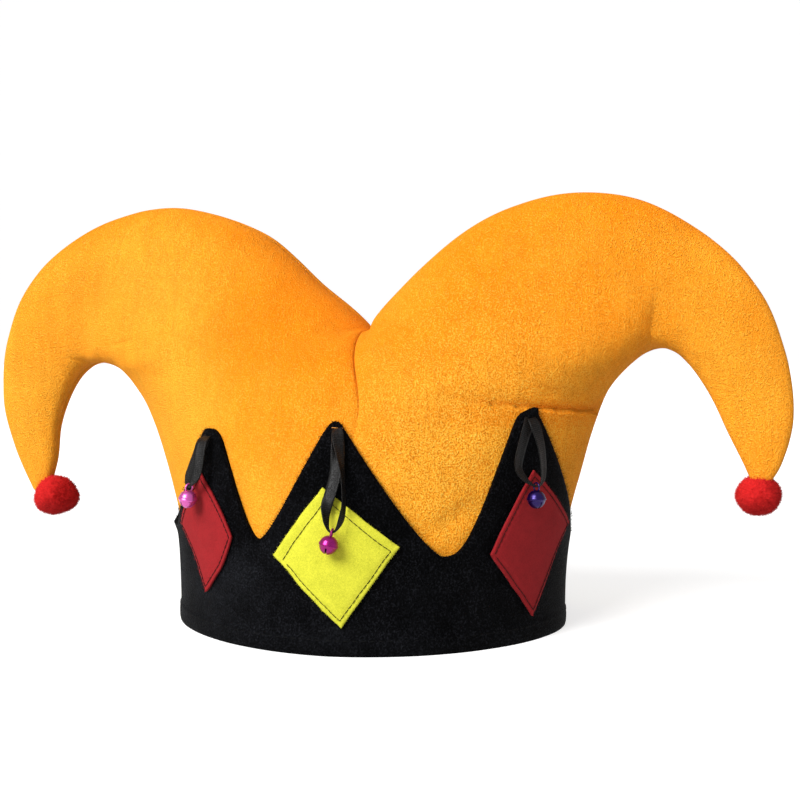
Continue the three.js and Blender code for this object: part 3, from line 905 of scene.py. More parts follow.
@dataclass(frozen=True)
class RunningStitch:
    """A line of thread stitches that dip into the cloth at both ends."""

    length: float = 0.0026
    gap: float = 0.00022
    thread: float = 0.00036
    sides: int = 6
    steps: int = 6
    # Where on its arch a stitch starts, and how much of the arch it runs over
    arch_start: float = 0.08
    arch_run: float = 0.84
    # How high the arch rises and how deep the whole stitch is sunk, in widths of the thread
    arch_rise: float = 0.9
    arch_sink: float = 0.4
    # How much of the thread's width is left at the arch's ends
    end_width: float = 0.35

    def mesh(self, name: str, line: Array, outward: Array) -> bpy.types.Mesh:
        """Lays stitches along a line.

        Args:
            name: The mesh's name.
            line: Points along the sewn line, close together.
            outward: The cloth's outward direction at each.

        Returns:
            One mesh with all the stitches.
        """
        reach = reach_along(line)
        starts = np.arange(self.gap / 2, reach[-1] - self.length, self.length + self.gap)
        share = np.linspace(0, 1, self.steps + 1)
        at = starts[:, None] + self.length * share
        middle = np.stack([np.interp(at, reach, line[:, axis]) for axis in range(3)], axis=-1)
        up = unit(np.stack([np.interp(at, reach, outward[:, axis]) for axis in range(3)], axis=-1))
        onward = unit(np.gradient(middle, axis=1))
        across = unit(np.cross(onward, up))
        bulge = np.sin(math.pi * (self.arch_start + self.arch_run * share))[:, None]
        middle = middle + up * self.thread * (self.arch_rise * bulge - self.arch_sink)
        turn = np.arange(self.sides) * math.tau / self.sides
        radius = self.thread / 2 * (self.end_width + (1 - self.end_width) * bulge**0.5)
        rings = (
            middle[:, :, None]
            + radius[None, :, :, None] * np.cos(turn)[:, None] * across[:, :, None]
            + radius[None, :, :, None] * np.sin(turn)[:, None] * up[:, :, None]
        )
        count, rows = rings.shape[:2]
        body = np.arange(rows * self.sides).reshape(rows, self.sides)
        quads = np.stack(
            [body[:-1], np.roll(body, -1, 1)[:-1], np.roll(body, -1, 1)[1:], body[1:]], axis=-1
        ).reshape(-1, 4)
        half = self.sides // 2
        caps = [
            [ring[a], ring[a + 1], ring[-a - 2], ring[-a - 1]]
            for ring in (body[0][::-1], body[-1])
            for a in range(half - 1)
        ]
        stitch = np.concatenate([quads, np.array(caps)])
        faces = (stitch[None] + rows * self.sides * np.arange(count)[:, None, None]).reshape(-1, 4)
        return make_mesh(name, rings.reshape(-1, 3), faces)


# Sub-assemblies


# How fast the sides of a crease, and the sunk side of a tuck, come back to the face
CREASE_FADE = 2.5
TUCK_FADE = 1.6
# How deep a tuck sinks above its line and how far it swells below, as shares of its depth
TUCK_SINK = 0.75
TUCK_SWELL = 0.3


class Fold(NamedTuple):
    """A crease or dent in a front panel, as a line across the front view.

    It is deepest at its start and fades to nothing at its end. A negative depth swells outwards.
    """

    side: Side
    start: tuple[float, float]
    end: tuple[float, float]
    width: float
    depth: float
    kind: FoldKind = FoldKind.SOFT

    def sink(self, x: Array, z: Array) -> Array:
        """How far the fold pushes the cloth in at places of the front view.

        Args:
            x: Places across.
            z: Places up.

        Returns:
            Depths in metres.
        """
        start, run = np.array(self.start), np.array(self.end) - np.array(self.start)
        offset = np.stack([x, z], axis=-1) - start
        share = np.clip(offset @ run / (run @ run), 0, 1)
        away = np.linalg.norm(offset - share[..., None] * run, axis=-1) / self.width
        soft = np.exp(-(away**2))
        if self.kind is FoldKind.TUCK:
            above = (run[0] * offset[..., 1] - run[1] * offset[..., 0]) * np.sign(run[0]) > 0
            sides = np.where(above, TUCK_SINK * np.exp(-TUCK_FADE * away), -TUCK_SWELL * soft)
            # A tuck keeps its depth almost to its end
            return self.depth * (1 - share**4) * sides
        fade = (1 + np.cos(math.pi * share)) / 2
        return self.depth * fade * (np.exp(-CREASE_FADE * away) if self.kind is FoldKind.CREASE else soft)


FOLDS = (
    # The right horn sags on its root: the crease with the roll above it
    Fold(Side.RIGHT, (0.1235, 0.106), (0.046, 0.1155), 0.006, 0.004, FoldKind.TUCK),
    Fold(Side.RIGHT, (0.116, 0.1225), (0.045, 0.1345), 0.0095, -0.0018),
    # Small wrinkles in that roll
    Fold(Side.RIGHT, (0.109, 0.1155), (0.097, 0.1245), 0.0024, 0.001),
    Fold(Side.RIGHT, (0.096, 0.117), (0.084, 0.125), 0.0024, 0.0009),
    Fold(Side.RIGHT, (0.117, 0.1135), (0.11, 0.122), 0.0022, 0.0009),
    # Kink at the right horn's bend
    Fold(Side.RIGHT, (0.142, 0.139), (0.145, 0.172), 0.005, 0.0018),
    Fold(Side.RIGHT, (0.1425, 0.141), (0.145, 0.174), 0.0045, 0.0009, FoldKind.CREASE),
    # Pinch and soft dents at the left horn's bend
    Fold(Side.LEFT, (-0.155, 0.129), (-0.163, 0.138), 0.005, 0.0007),
    Fold(Side.LEFT, (-0.131, 0.129), (-0.108, 0.142), 0.006, 0.0014),
    Fold(Side.LEFT, (-0.118, 0.142), (-0.136, 0.1385), 0.004, 0.0013, FoldKind.CREASE),
    Fold(Side.LEFT, (-0.1545, 0.13), (-0.166, 0.134), 0.003, 0.0008, FoldKind.CREASE),
    # Low wrinkle over the right front, and the centre seam's pull below the valley
    Fold(Side.RIGHT, (0.06, 0.064), (0.026, 0.042), 0.005, 0.0016),
    Fold(Side.RIGHT, (0.003, 0.146), (0.008, 0.122), 0.004, 0.0012),
)


class NapAndLightPatch(NamedTuple):
    """An area of the front view where the colour changes: its middle, its reach across and up, its strength.

    A strength above 0 leans the pile away, towards its root colour, and one below 0 lays it smooth.
    Some patches are brushed pile and some are painted light and shade.
    """

    x: float
    z: float
    across: float
    up: float
    strength: float

    def lean(self, points: Array, edge: PatchEdge) -> Array:
        """Finds how far the patch moves the colour towards the pile's root colour.

        Args:
            points: Places, with X, Y and Z last.
            edge: How the patch ends.

        Returns:
            One number for each point.
        """
        across = (points[..., 0] - self.x) / self.across
        rise = (points[..., 2] - self.z) / self.up
        return self.strength * np.exp(-(across**edge.value) - rise**edge.value)


NAP_AND_LIGHT_PATCHES = (
    # Both sides of the front seam, brushed up
    NapAndLightPatch(-0.034, 0.135, 0.038, 0.055, 0.4),
    NapAndLightPatch(0.03, 0.15, 0.03, 0.03, 0.05),
    # The right horn, and the lip under its crease
    NapAndLightPatch(0.09, 0.178, 0.065, 0.04, 0.42),
    NapAndLightPatch(0.08, 0.107, 0.045, 0.006, 0.5),
    # Painted light on the lower right of the crown: lighter and yellower, for the glints where light grazes
    # it
    NapAndLightPatch(0.058, 0.082, 0.035, 0.028, -0.35),
    # Painted light on the left side of the crown and the left tip, which face the lamp: lighter and yellower
    NapAndLightPatch(-0.085, 0.09, 0.03, 0.035, -0.5),
    NapAndLightPatch(-0.1, 0.165, 0.03, 0.03, -0.2),
    NapAndLightPatch(-0.18, 0.09, 0.03, 0.04, -0.4),
)

# The lower right of the front, where light grazes the pile: its painted glints and gap shade are strongest
GRAZING_GLINT_PATCH = NapAndLightPatch(0.06, 0.09, 0.055, 0.06, 0.6)

BAND_SHEEN_PATCHES = (
    # Painted sheen: the left of the band's front, where the light falls, is greyer and the right darker
    NapAndLightPatch(-0.07, 0.028, 0.03, 0.022, 0.7),
    NapAndLightPatch(-0.005, 0.006, 0.05, 0.008, 0.3),
    NapAndLightPatch(0.085, 0.03, 0.03, 0.05, -0.5),
)


@dataclass(frozen=True)
class PlushPanel:
    """A quarter of the crown with half of a horn, cut from plush and sewn to its neighbours."""

    shape: CrownShape
    side: Side
    facing: Facing
    knot: tuple[float, float, float]
    thickness: float = 0.002
    rim_lift: float = 0.001
    cloth: tuple[float, float] = (0.29, 0.31)
    cloth_area: float = 0.039
    steps_per_section: int = 20
    columns: int = 96
    # Smoothing beside the valley: its reach in sections, the turn where it starts and the turns it grows over
    easings: int = 100
    ease_reach: float = 0.9
    ease_from: float = 0.35
    ease_over: float = 0.6
    gather_shares: tuple[float, ...] = (0.2, 0.4, 0.6)
    seam_sink: float = 0.0003
    seam_reach: float = 0.0016
    seam_hold: float = 0.006
    seam_drift: float = 0.010
    drift_height: float = 0.108
    drift_rise: float = 0.024
    drift_reach: float = 0.03
    ripple: Mottle = Mottle(0.00045, 0.022, 1)
    # How far the pile leans on a wall, and how much painted shade is added where the cloth faces up, from
    # which slope
    nap_base: float = 0.28
    nap_up: float = 0.5
    nap_from: float = 0.25
    nap_over: float = 0.45
    nap_clouds: Mottle = Mottle(0.2, 0.04, 7)
    # Flecks are twice as long down the pile as across it
    nap_flecks: Mottle = Mottle(0.16, 0.009, 9)
    fleck_stretch: tuple[float, float, float] = (1, 1, 0.5)
    # Strength of the painted glints and gap shade, with random changes to it
    glint_base: float = 0.4
    glint_mottle: Mottle = Mottle(0.12, 0.012, 11)

    @property
    def name(self) -> str:
        """The panel's place in words."""
        return f"{self.facing.name}_{self.side.name}".lower()

    @property
    def mirror(self) -> Array:
        """Signs that turn outward, depth and up into the hat's X, Y and Z."""
        return np.array([self.side.value, self.facing.value, 1])

    def layout(self) -> tuple[Array, Array]:
        """Lays out the panel's rows and columns.

        Returns:
            Fractional sections and turns.
        """
        horn = HORNS[self.side]
        last = len(horn) - 1
        rows = np.linspace(0, last, last * self.steps_per_section + 1)
        rows[0] = self.rim_lift / horn[1].ridge_z
        at, turn = np.meshgrid(rows, np.linspace(0, math.pi, self.columns + 1), indexing="ij")
        return at, turn

    def eased(self, at: Array, turn: Array, values: Array) -> Array:
        """Smooths values along the sections where the dome meets the horn, away from the ridge.

        Args:
            at: Fractional sections.
            turn: Turns from the ridge.
            values: Points or directions to smooth.

        Returns:
            The smoothed values.
        """
        near = np.exp(-(((at - self.shape.valley_row) / self.ease_reach) ** 2))
        share = (near * np.clip((turn - self.ease_from) / self.ease_over, 0, 1))[1:-1, :, None]
        for _ in range(self.easings):
            middle = (values[:-2] + 2 * values[1:-1] + values[2:]) / 4
            values = np.concatenate([values[:1], values[1:-1] + share * (middle - values[1:-1]), values[-1:]])
        return values

    def face(self, inset: float) -> Array:
        """Lays out one face of the cloth.

        Args:
            inset: Distance inside the outer face.

        Returns:
            Rows and columns of points in the hat's frame.
        """
        at, turn = self.layout()
        point = self.eased(at, turn, self.shape.point(self.side, at, turn))
        normal = unit(self.eased(at, turn, self.shape.normal(self.side, at, turn)))
        sign = self.mirror
        nearest = self.from_seam(point)
        groove = self.seam_sink * np.exp(-((nearest / self.seam_reach) ** 2))
        sink = inset + groove + self.ripple.at(point * sign)
        if self.facing is Facing.FRONT:
            loose = 1 - np.exp(-((nearest / self.seam_hold) ** 2))
            for fold in (fold for fold in FOLDS if fold.side is self.side):
                sink = sink + loose * fold.sink(self.side.value * point[..., 0], point[..., 2])
        point = point - normal * sink[..., None]
        # No cloth crosses the planes that the panels share
        point[..., :2] = np.maximum(point[..., :2], 0)
        placed = point * sign
        if self.facing is Facing.FRONT:
            placed[..., 0] += self.drift(point[..., 0], point[..., 2])
        end = placed[-1]
        gathered = [end + share * (np.array(self.knot) - end) for share in self.gather_shares]
        return np.concatenate([placed, np.stack(gathered)])

    def nap(self, face: Array) -> Array:
        """Finds how far the pile leans away, with painted shade and light added, from 0 to 1.

        The cloth is painted darker where it faces up, as shade, and on the front some patches are painted
        light.

        Args:
            face: The outer face's points.

        Returns:
            One number for each of them.
        """
        at, turn = self.layout()
        up = unit(self.eased(at, turn, self.shape.normal(self.side, at, turn)))[..., 2]
        up = np.concatenate([up, np.repeat(up[-1:], len(self.gather_shares), axis=0)])
        # Painted shade: darker where the cloth faces up
        lean = self.nap_base + self.nap_up * np.clip((up - self.nap_from) / self.nap_over, 0, 1)
        lean = lean + self.nap_clouds.at(face) + self.nap_flecks.at(face * self.fleck_stretch)
        if self.facing is Facing.FRONT:
            for patch in NAP_AND_LIGHT_PATCHES:
                lean = lean + patch.lean(face, PatchEdge.CLEAR)
        return np.clip(lean, 0, 1)

    def grain(self, face: Array) -> Array:
        """Finds how strong the painted glints and gap shade are, from 0 to 1: most on the lower right of the
        front, where light grazes.

        Args:
            face: The outer face's points.

        Returns:
            One number for each of them.
        """
        glint_strength = self.glint_base + self.glint_mottle.at(face)
        if self.facing is Facing.FRONT:
            glint_strength = glint_strength + GRAZING_GLINT_PATCH.lean(face, PatchEdge.SOFT)
        return np.clip(glint_strength, 0, 1)

    def drift(self, x: Array, z: Array) -> Array:
        """How far the front's centre seam draws the cloth beside it to the right."""
        rise = (z - self.drift_height) / self.drift_rise
        return self.seam_drift * np.exp(-(rise**2) - (x / self.drift_reach) ** 2)

    def from_seam(self, point: Array) -> Array:
        """Measures how far places lie from the nearer of the panel's two long seams.

        Args:
            point: Rows and columns of points.

        Returns:
            Distances across the cloth.
        """
        steps = np.linalg.norm(np.diff(point, axis=1), axis=-1)
        reach = np.concatenate([np.zeros((len(point), 1)), np.cumsum(steps, axis=1)], axis=1)
        return np.minimum(reach, reach[:, -1:] - reach)

    def build(self, finishes: Finishes) -> list[bpy.types.Object]:
        """Makes the panel and sets it on the hat.

        Args:
            finishes: The hat's materials.

        Returns:
            The new piece.
        """
        outer, inner = self.face(0), self.face(self.thickness)
        points, faces, inside = closed_wall(outer, inner)
        mesh = make_mesh(f"plush_{self.name}", points, faces, inside)
        for name, values in ((NAP_AND_LIGHT, self.nap(outer)), (GLINT_STRENGTH, self.grain(outer))):
            mark_points(mesh, name, np.tile(values.ravel(), 2))
        piece = add_piece(
            f"plush_{self.name}", mesh, (finishes.plush, finishes.backing), [f"{self.name}_panel"]
        )
        return [piece]


class Tip(NamedTuple):
    """A point's tip: its place along the rim, its height, half the flat on top, half its width and its drop.

    The drop is down to its shoulders. The slant is how far the ends of its flat top lie above and below its
    height.
    """

    at: float
    height: float
    flat: float
    half_width: float
    drop: float
    slant: float = 0.0


class Diamond(NamedTuple):
    """A felt diamond's corners as (along, height), its colour and how far inside each edge it is stitched.

    The edges go round from the upper right one: upper right, upper left, lower left, lower right. The bows
    are how far each edge was cut past the straight line.
    """

    top: tuple[float, float]
    right: tuple[float, float]
    bottom: tuple[float, float]
    left: tuple[float, float]
    felt: FeltColour
    insets: tuple[float, float, float, float]
    bows: tuple[float, float, float, float] = (0.0, 0.0, 0.0, 0.0)


class Loop(NamedTuple):
    """A ribbon loop: its drop, its shift along the rim, its bow and how far its second leg stands off.

    The turns are how far the top, the middle and the end of its first leg and then its second leg are twisted
    edge on, in degrees. The bell has a tint and a lean in degrees. The offset moves the sewn ends along the
    rim, and the skew moves the first leg between there and the bell.
    """

    drop: float
    shift: float
    bow: float
    stand: float
    turns: tuple[float, float, float, float]
    bell: BellTint
    lean: float
    offset: float = 0.0
    skew: float = 0.0


class BandPoint(NamedTuple):
    """One point of the zigzag with the valley after it, as (along, height), and what it carries.

    The rise and the fall are the exponents of its edges: above 1 an edge flares out towards the valley.
    """

    name: str
    tip: Tip
    rise: float
    fall: float
    valley: tuple[float, float]
    diamond: Diamond
    loop: Loop


NEAR_EDGE = (0.0018, 0.0018, 0.0017, 0.0017)
BAND_POINTS = (
    BandPoint(
        "front", Tip(0.0005, 0.1046, 0.0015, 0.004, 0.004), 1.37, 1.27, (0.0515, 0.044),
        Diamond(
            (-0.0021, 0.0747), (0.0315, 0.049), (0.0075, 0.013), (-0.0238, 0.0442), FeltColour.YELLOW,
            (0.0036, 0.0047, 0.0021, 0.0021),
        ),
        Loop(0.0451, 0.002, 0.9, 0.0, (-62, 14, -55, 80), BellTint.MAGENTA, -15, 0.0015, 0.0046),
    ),
    BandPoint(
        "front_right", Tip(0.0795, 0.1105, 0.004, 0.005, 0.0025, 0.0015), 3.0, 1.2, (0.147, 0.046),
        Diamond(
            (0.088, 0.0825), (0.125, 0.055), (0.101, 0.012), (0.0735, 0.044), FeltColour.RED, NEAR_EDGE
        ),
        Loop(0.0304, 0.0066, 1.1, 0.0, (-14, -22, -26, 20), BellTint.VIOLET, 0),
    ),
    BandPoint(
        "back_right", Tip(0.216, 0.103, 0.002, 0.0045, 0.0035), 1.35, 1.6, (0.2465, 0.047),
        Diamond(
            (0.205, 0.078), (0.231, 0.045), (0.201, 0.016), (0.175, 0.049), FeltColour.YELLOW, NEAR_EDGE
        ),
        Loop(0.034, -0.008, 1.0, 0.0, (0, 10, -30, 60), BellTint.MAGENTA, 8),
    ),
    BandPoint(
        "back", Tip(0.292, 0.104, 0.002, 0.0045, 0.0035), 1.4, 1.3, (0.345, 0.048),
        Diamond(
            (0.2925, 0.078), (0.322, 0.0475), (0.2955, 0.014), (0.266, 0.0445), FeltColour.RED, NEAR_EDGE
        ),
        Loop(0.04, -0.003, 0.9, 0.0, (-10, -20, -20, 40), BellTint.VIOLET, -6),
    ),
    BandPoint(
        "back_left", Tip(0.37, 0.102, 0.002, 0.0045, 0.0035), 1.7, 1.3, (0.443, 0.048),
        Diamond(
            (0.3875, 0.077), (0.417, 0.0495), (0.3925, 0.017), (0.363, 0.0445), FeltColour.YELLOW, NEAR_EDGE
        ),
        Loop(0.033, 0.01, 1.1, 0.0, (20, 15, -10, 55), BellTint.PINK, 0),
    ),
    BandPoint(
        "front_left", Tip(0.5079, 0.1, 0.0025, 0.0055, 0.0035), 1.8, 1.85, (0.5316, 0.05),
        Diamond(
            (0.5, 0.079), (0.5174, 0.0503), (0.4962, 0.0218), (0.473, 0.0525), FeltColour.RED, NEAR_EDGE,
            (0.0012, 0.0, -0.0022, 0.0024),
        ),
        Loop(0.0235, -0.008, 0.62, 0.0016, (-25, 0, -20, 20), BellTint.PINK, -10),
    ),
)


@dataclass(frozen=True)
class VelvetBand:
    """The zigzag velvet band round the crown, with its turned hem, hem stitching and frayed upper edge."""

    shape: CrownShape
    gap: float = 0.0011
    thickness: float = 0.0018
    # The wall reaches nearer the crown than the cloth does, so that no light comes in behind its edge
    back: float = 0.0002
    cloth_height: float = 0.11
    cloth_area: float = 0.0455
    column: float = 0.0015
    roundings: int = 3
    hem_rows: int = 6
    rows: int = 26
    # Below 1 the rows lie closer together towards the upper edge
    row_growth: float = 0.8
    edge_round: float = 0.0016
    edge_roll: float = 0.0008
    hem_height: float = 0.008
    hem_bulk: float = 0.0007
    hem_step: float = 0.0012
    # The hem is drawn in at its stitching and rounded at its foot, by shares of its bulk
    stitch_height: float = 0.0072
    stitch_draw: float = 0.5
    stitch_reach: float = 0.0009
    foot_round: float = 0.4
    foot_reach: float = 0.001
    stitch_points: int = 800
    hem_stitch: RunningStitch = RunningStitch(length=0.0032, gap=0.0008)
    fray_spacing: float = 0.00022
    fray_sink: float = 0.0008
    fray_depth: tuple[float, float] = (0.3, 0.9)
    fray_up: float = 0.9
    fray_out: float = 0.45
    fray_seed: int = 5
    fray_pile: Fuzz = Fuzz(length=0.0016, width=0.00014, spread=0.35, seed=6)
    slope_step: float = 0.001
    # Strength of the painted highlights on the velvet's tufts and the painted shade between them
    band_glint: float = 0.65
    nap_base: float = 0.08
    nap_clouds: Mottle = Mottle(0.4, 0.03, 8)
    ripple: Mottle = Mottle(0.0002, 0.018, 2)
    flare: float = 0.0024
    flare_at: tuple[float, float] = (0.441, 0.05)
    flare_reach: tuple[float, float] = (0.005, 0.004)

    @property
    def face(self) -> float:
        """Distance from the crown to the band's outer face."""
        return self.gap + self.thickness

    def columns(self) -> tuple[Array, Array]:
        """Finds the zigzag's edge.

        Returns:
            Places round the rim, in order, and the band's height at each.
        """
        corners, curves = [], []
        for point in BAND_POINTS:
            tip = point.tip
            corners += [
                (tip.at - tip.half_width, tip.height - tip.drop),
                (tip.at - tip.flat, tip.height - tip.slant),
                (tip.at + tip.flat, tip.height + tip.slant),
                (tip.at + tip.half_width, tip.height - tip.drop),
                point.valley,
            ]
            curves += [1.0, 1.0, 1.0, point.fall, point.rise]
        # The edge after each valley rises to the next point
        rises = curves[4::5]
        curves[4::5] = rises[1:] + rises[:1]
        first = corners[0]
        corners.append((first[0] + self.shape.rim_length, first[1]))
        places, heights = [], []
        for (start, start_height), (end, end_height), curve in zip(corners, corners[1:], curves):
            steps = math.ceil(math.hypot(end - start, end_height - start_height) / self.column)
            share = np.arange(steps) / steps
            climb = share if start_height < end_height else 1 - share
            low, high = sorted((start_height, end_height))
            places.append(start + share * (end - start))
            heights.append(low + (high - low) * climb**curve)
        height = np.concatenate(heights)
        for _ in range(self.roundings):
            height = (np.roll(height, 1) + 2 * height + np.roll(height, -1)) / 4
        return np.concatenate(places), height

    def grid(self, outer: bool) -> Array:
        """Lays out one face of the band.

        Args:
            outer: Whether it is the outer face.

        Returns:
            Points by column round the rim and by level.
        """
        at, height = self.columns()
        top = self.hem_height + self.hem_step
        hem = np.append(np.linspace(0, self.hem_height, self.hem_rows), top)
        share = np.linspace(0, 1, self.rows + 1)[1:] ** self.row_growth
        rise = top + (height[:, None] - top) * share
        level = np.concatenate([np.broadcast_to(hem, (len(at), len(hem))), rise], axis=1)
        from_edge = height[:, None] - level
        stand_off = np.full_like(level, self.face if outer else self.back)
        if outer:
            turned = level < self.hem_height + self.hem_step / 2
            stitched = np.exp(-(((level - self.stitch_height) / self.stitch_reach) ** 2))
            foot = np.exp(-((level / self.foot_reach) ** 2))
            stand_off += self.hem_bulk * (turned - self.stitch_draw * stitched - self.foot_round * foot)
            stand_off -= self.edge_roll * np.exp(-((from_edge / self.edge_round) ** 2))
        beside = (at[:, None] - self.flare_at[0]) / self.flare_reach[0]
        above = (level - self.flare_at[1]) / self.flare_reach[1]
        stand_off += self.flare * np.exp(-(beside**2) - above**2)
        place, normal = self.shape.place(at[:, None], level, stand_off)
        if outer:
            place = place + normal * self.ripple.at(place)[..., None]
        place[:, 0, 2] = 0
        return place

    def build(self, finishes: Finishes) -> list[bpy.types.Object]:
        """Makes the band with its sewing and its frayed edge.

        Args:
            finishes: The hat's materials.

        Returns:
            The band, the sewing and the edge's pile.
        """
        points, faces, _ = closed_wall(self.grid(True), self.grid(False), ring=True)
        mesh = make_mesh("velvet_band", points, faces)
        mark_points(mesh, NAP_AND_LIGHT, self.nap(points))
        mark_points(mesh, GLINT_STRENGTH, np.full(len(points), self.band_glint))
        band = add_piece("velvet_band", mesh, [finishes.velvet], ["zigzag_band"])
        at = np.linspace(0, self.shape.rim_length, self.stitch_points)
        sewn = self.face + (1 - self.stitch_draw) * self.hem_bulk
        line, outward = self.shape.place(at, self.stitch_height, sewn)
        stitches = self.hem_stitch.mesh("hem_stitching", line, outward)
        sewing = add_piece("hem_stitching", stitches, [finishes.thread])
        fray = add_piece("velvet_edge_pile", self.fray(), [finishes.thread])
        self.shape.rim_length
        return [band, sewing, fray]

    def nap(self, points: Array) -> Array:
        """Finds the share of grey haze, from 0 to 1: random clouds of it, with painted sheen in patches on
        the front.

        Args:
            points: The band's points.

        Returns:
            One number for each of them.
        """
        lean = self.nap_base + self.nap_clouds.at(points)
        # Painted sheen, greyer on the front's left and darker on its right
        for patch in BAND_SHEEN_PATCHES:
            lean = lean + (points[:, 1] < 0) * patch.lean(points, PatchEdge.SOFT)
        return np.clip(lean, 0, 1)

    def fray(self) -> bpy.types.Mesh:
        """Makes the pile that stands out past the zigzag's cut edge.

        Returns:
            One mesh with all of its fibres.
        """
        at, height = self.columns()
        closed_at = np.append(at, at[0] + self.shape.rim_length)
        closed_height = np.append(height, height[0])
        reach = reach_along(np.stack([closed_at, closed_height], axis=1))
        draw = np.random.default_rng(self.fray_seed)
        spots = np.sort(draw.uniform(0, reach[-1], int(reach[-1] / self.fray_spacing)))
        along = np.interp(spots, reach, closed_at)
        level = np.interp(spots, reach, closed_height) - draw.uniform(0, self.fray_sink, len(spots))
        depth = self.thickness * draw.uniform(*self.fray_depth, len(spots))
        roots, outward = self.shape.place(along, level, self.gap + depth)
        step = self.slope_step
        here, above, below, beside = (
            self.shape.place(along + aside, level + rise, self.face)[0]
            for aside, rise in ((0, 0), (0, step), (0, -step), (step, 0))
        )
        slope = np.interp(spots, reach, np.gradient(closed_height, closed_at))
        uphill = unit(above - below) - slope[:, None] * unit(beside - here)
        way = unit(uphill) * self.fray_up + outward * self.fray_out
        return self.fray_pile.mesh("velvet_edge_pile", roots, way)


@dataclass(frozen=True)
class FeltDiamond:
    """A felt diamond sewn on the band with a line of topstitching."""

    shape: CrownShape
    band: VelvetBand
    name: str
    cut: Diamond
    gap: float = 0.0006
    thickness: float = 0.0015
    cells: int = 34
    # Share of a half turn that the cells' places are read from, so that they lie closer at the edges
    crowding: float = 0.8
    waver_along: Mottle = Mottle(0.0005, 0.009, 4)
    waver_up: Mottle = Mottle(0.0005, 0.009, 5)
    face_lumps: Mottle = Mottle(0.00015, 0.004, 3)
    edge_sink: float = 0.0005
    edge_reach: float = 0.0006
    stitch_sink: float = 0.0004
    stitch_reach: float = 0.001
    stitch_lift: float = 0.0002
    stitch_points: int = 40
    topstitch: RunningStitch = RunningStitch()
    fuzz_spacing: float = 0.0003
    # Shares of the way from the middle to an edge where a fibre's root lies and where its run starts
    fuzz_root: float = 0.995
    fuzz_from: float = 0.9
    fuzz_out: float = 0.5
    fuzz_depth: tuple[float, float] = (0.2, 0.95)
    fuzz_seed: int = 11
    edge_fuzz: Fuzz = Fuzz(length=0.0008, width=0.00012, spread=0.5, seed=9)

    @property
    def back(self) -> float:
        """Distance from the crown to the felt's back."""
        return self.band.face + self.gap

    @property
    def half_size(self) -> tuple[float, float]:
        """Half the distance from corner to corner, across and up."""
        corners = [np.array(corner) for corner in self.cut[:4]]
        return np.linalg.norm(corners[1] - corners[3]) / 2, np.linalg.norm(corners[0] - corners[2]) / 2

    @property
    def reach(self) -> float:
        """Distance from the middle to an edge."""
        wide, high = self.half_size
        return wide * high / math.hypot(wide, high)

    def place(self, one: Array, other: Array, stand_off: Array) -> tuple[Array, Array]:
        """Finds places on the diamond.

        Args:
            one: Shares from -1 to 1, from the lower left edge to the upper right one.
            other: Shares from -1 to 1, from the upper left edge to the lower right one.
            stand_off: Distances from the crown.

        Returns:
            The places and the outward directions there.
        """
        top, right, bottom, left = (np.array(corner) for corner in self.cut[:4])
        up, down = ((1 + one) / 2)[..., None], ((1 + other) / 2)[..., None]
        spot = (1 - up) * ((1 - down) * left + down * bottom) + up * ((1 - down) * top + down * right)
        runs = (
            (right - top, up, down),
            (top - left, 1 - down, up),
            (left - bottom, 1 - up, down),
            (bottom - right, down, up),
        )
        for bow, (run, weight, share) in zip(self.cut.bows, runs):
            outward = np.array([-run[1], run[0]]) / np.linalg.norm(run)
            spot = spot + bow * weight * 4 * share * (1 - share) * outward
        flat = np.concatenate([spot, np.zeros_like(spot[..., :1])], axis=-1)
        along = spot[..., 0] + self.waver_along.at(flat)
        level = spot[..., 1] + self.waver_up.at(flat)
        return self.shape.place(along, level, stand_off)

    def edges(self) -> tuple[float, float, float, float]:
        """Shares of the sewn line on the upper right, upper left, lower left and lower right."""
        right, left, low_left, low_right = (inset / self.reach for inset in self.cut.insets)
        return 1 - right, left - 1, low_left - 1, 1 - low_right

    def felt(self) -> bpy.types.Mesh:
        """Makes the felt, drawn in along its stitching and rounded at its edge.

        Returns:
            A closed mesh.
        """
        end = self.crowding * math.pi / 2
        share = np.sin(np.linspace(-end, end, self.cells + 1)) / math.sin(end)
        one, other = np.meshgrid(share, share, indexing="ij")
        right, left, low_left, low_right = self.edges()
        lines = [np.abs(one - right), np.abs(other - left), np.abs(one - low_left), np.abs(other - low_right)]
        from_line = np.min(lines, axis=0) * self.reach
        from_edge = (1 - np.maximum(np.abs(one), np.abs(other))) * self.reach
        front = np.full_like(one, self.back + self.thickness)
        front -= self.stitch_sink * np.exp(-((from_line / self.stitch_reach) ** 2))
        front -= self.edge_sink * np.exp(-((from_edge / self.edge_reach) ** 2))
        outer, _ = self.place(one, other, front)
        outer = outer + self.face_lumps.at(outer)[..., None] * unit(outer * (1, 1, 0))
        inner, _ = self.place(one, other, np.full_like(one, self.back))
        points, faces, _ = closed_wall(outer, inner)
        return make_mesh(f"felt_{self.name}", points, faces)

    def sewing(self) -> bpy.types.Mesh:
        """Makes the topstitching inside the edges.

        Returns:
            One mesh with all the stitches.
        """
        right, left, low_left, low_right = self.edges()
        corners = np.array(
            [(low_left, left), (right, left), (right, low_right), (low_left, low_right), (low_left, left)]
        )
        run = np.linspace(0, 1, self.stitch_points)[:, None]
        shares = np.concatenate([start + run * (end - start) for start, end in zip(corners, corners[1:])])
        surface = self.back + self.thickness - self.stitch_sink + self.stitch_lift
        line, outward = self.place(shares[:, 0], shares[:, 1], np.full(len(shares), surface))
        return self.topstitch.mesh(f"topstitch_{self.name}", line, outward)

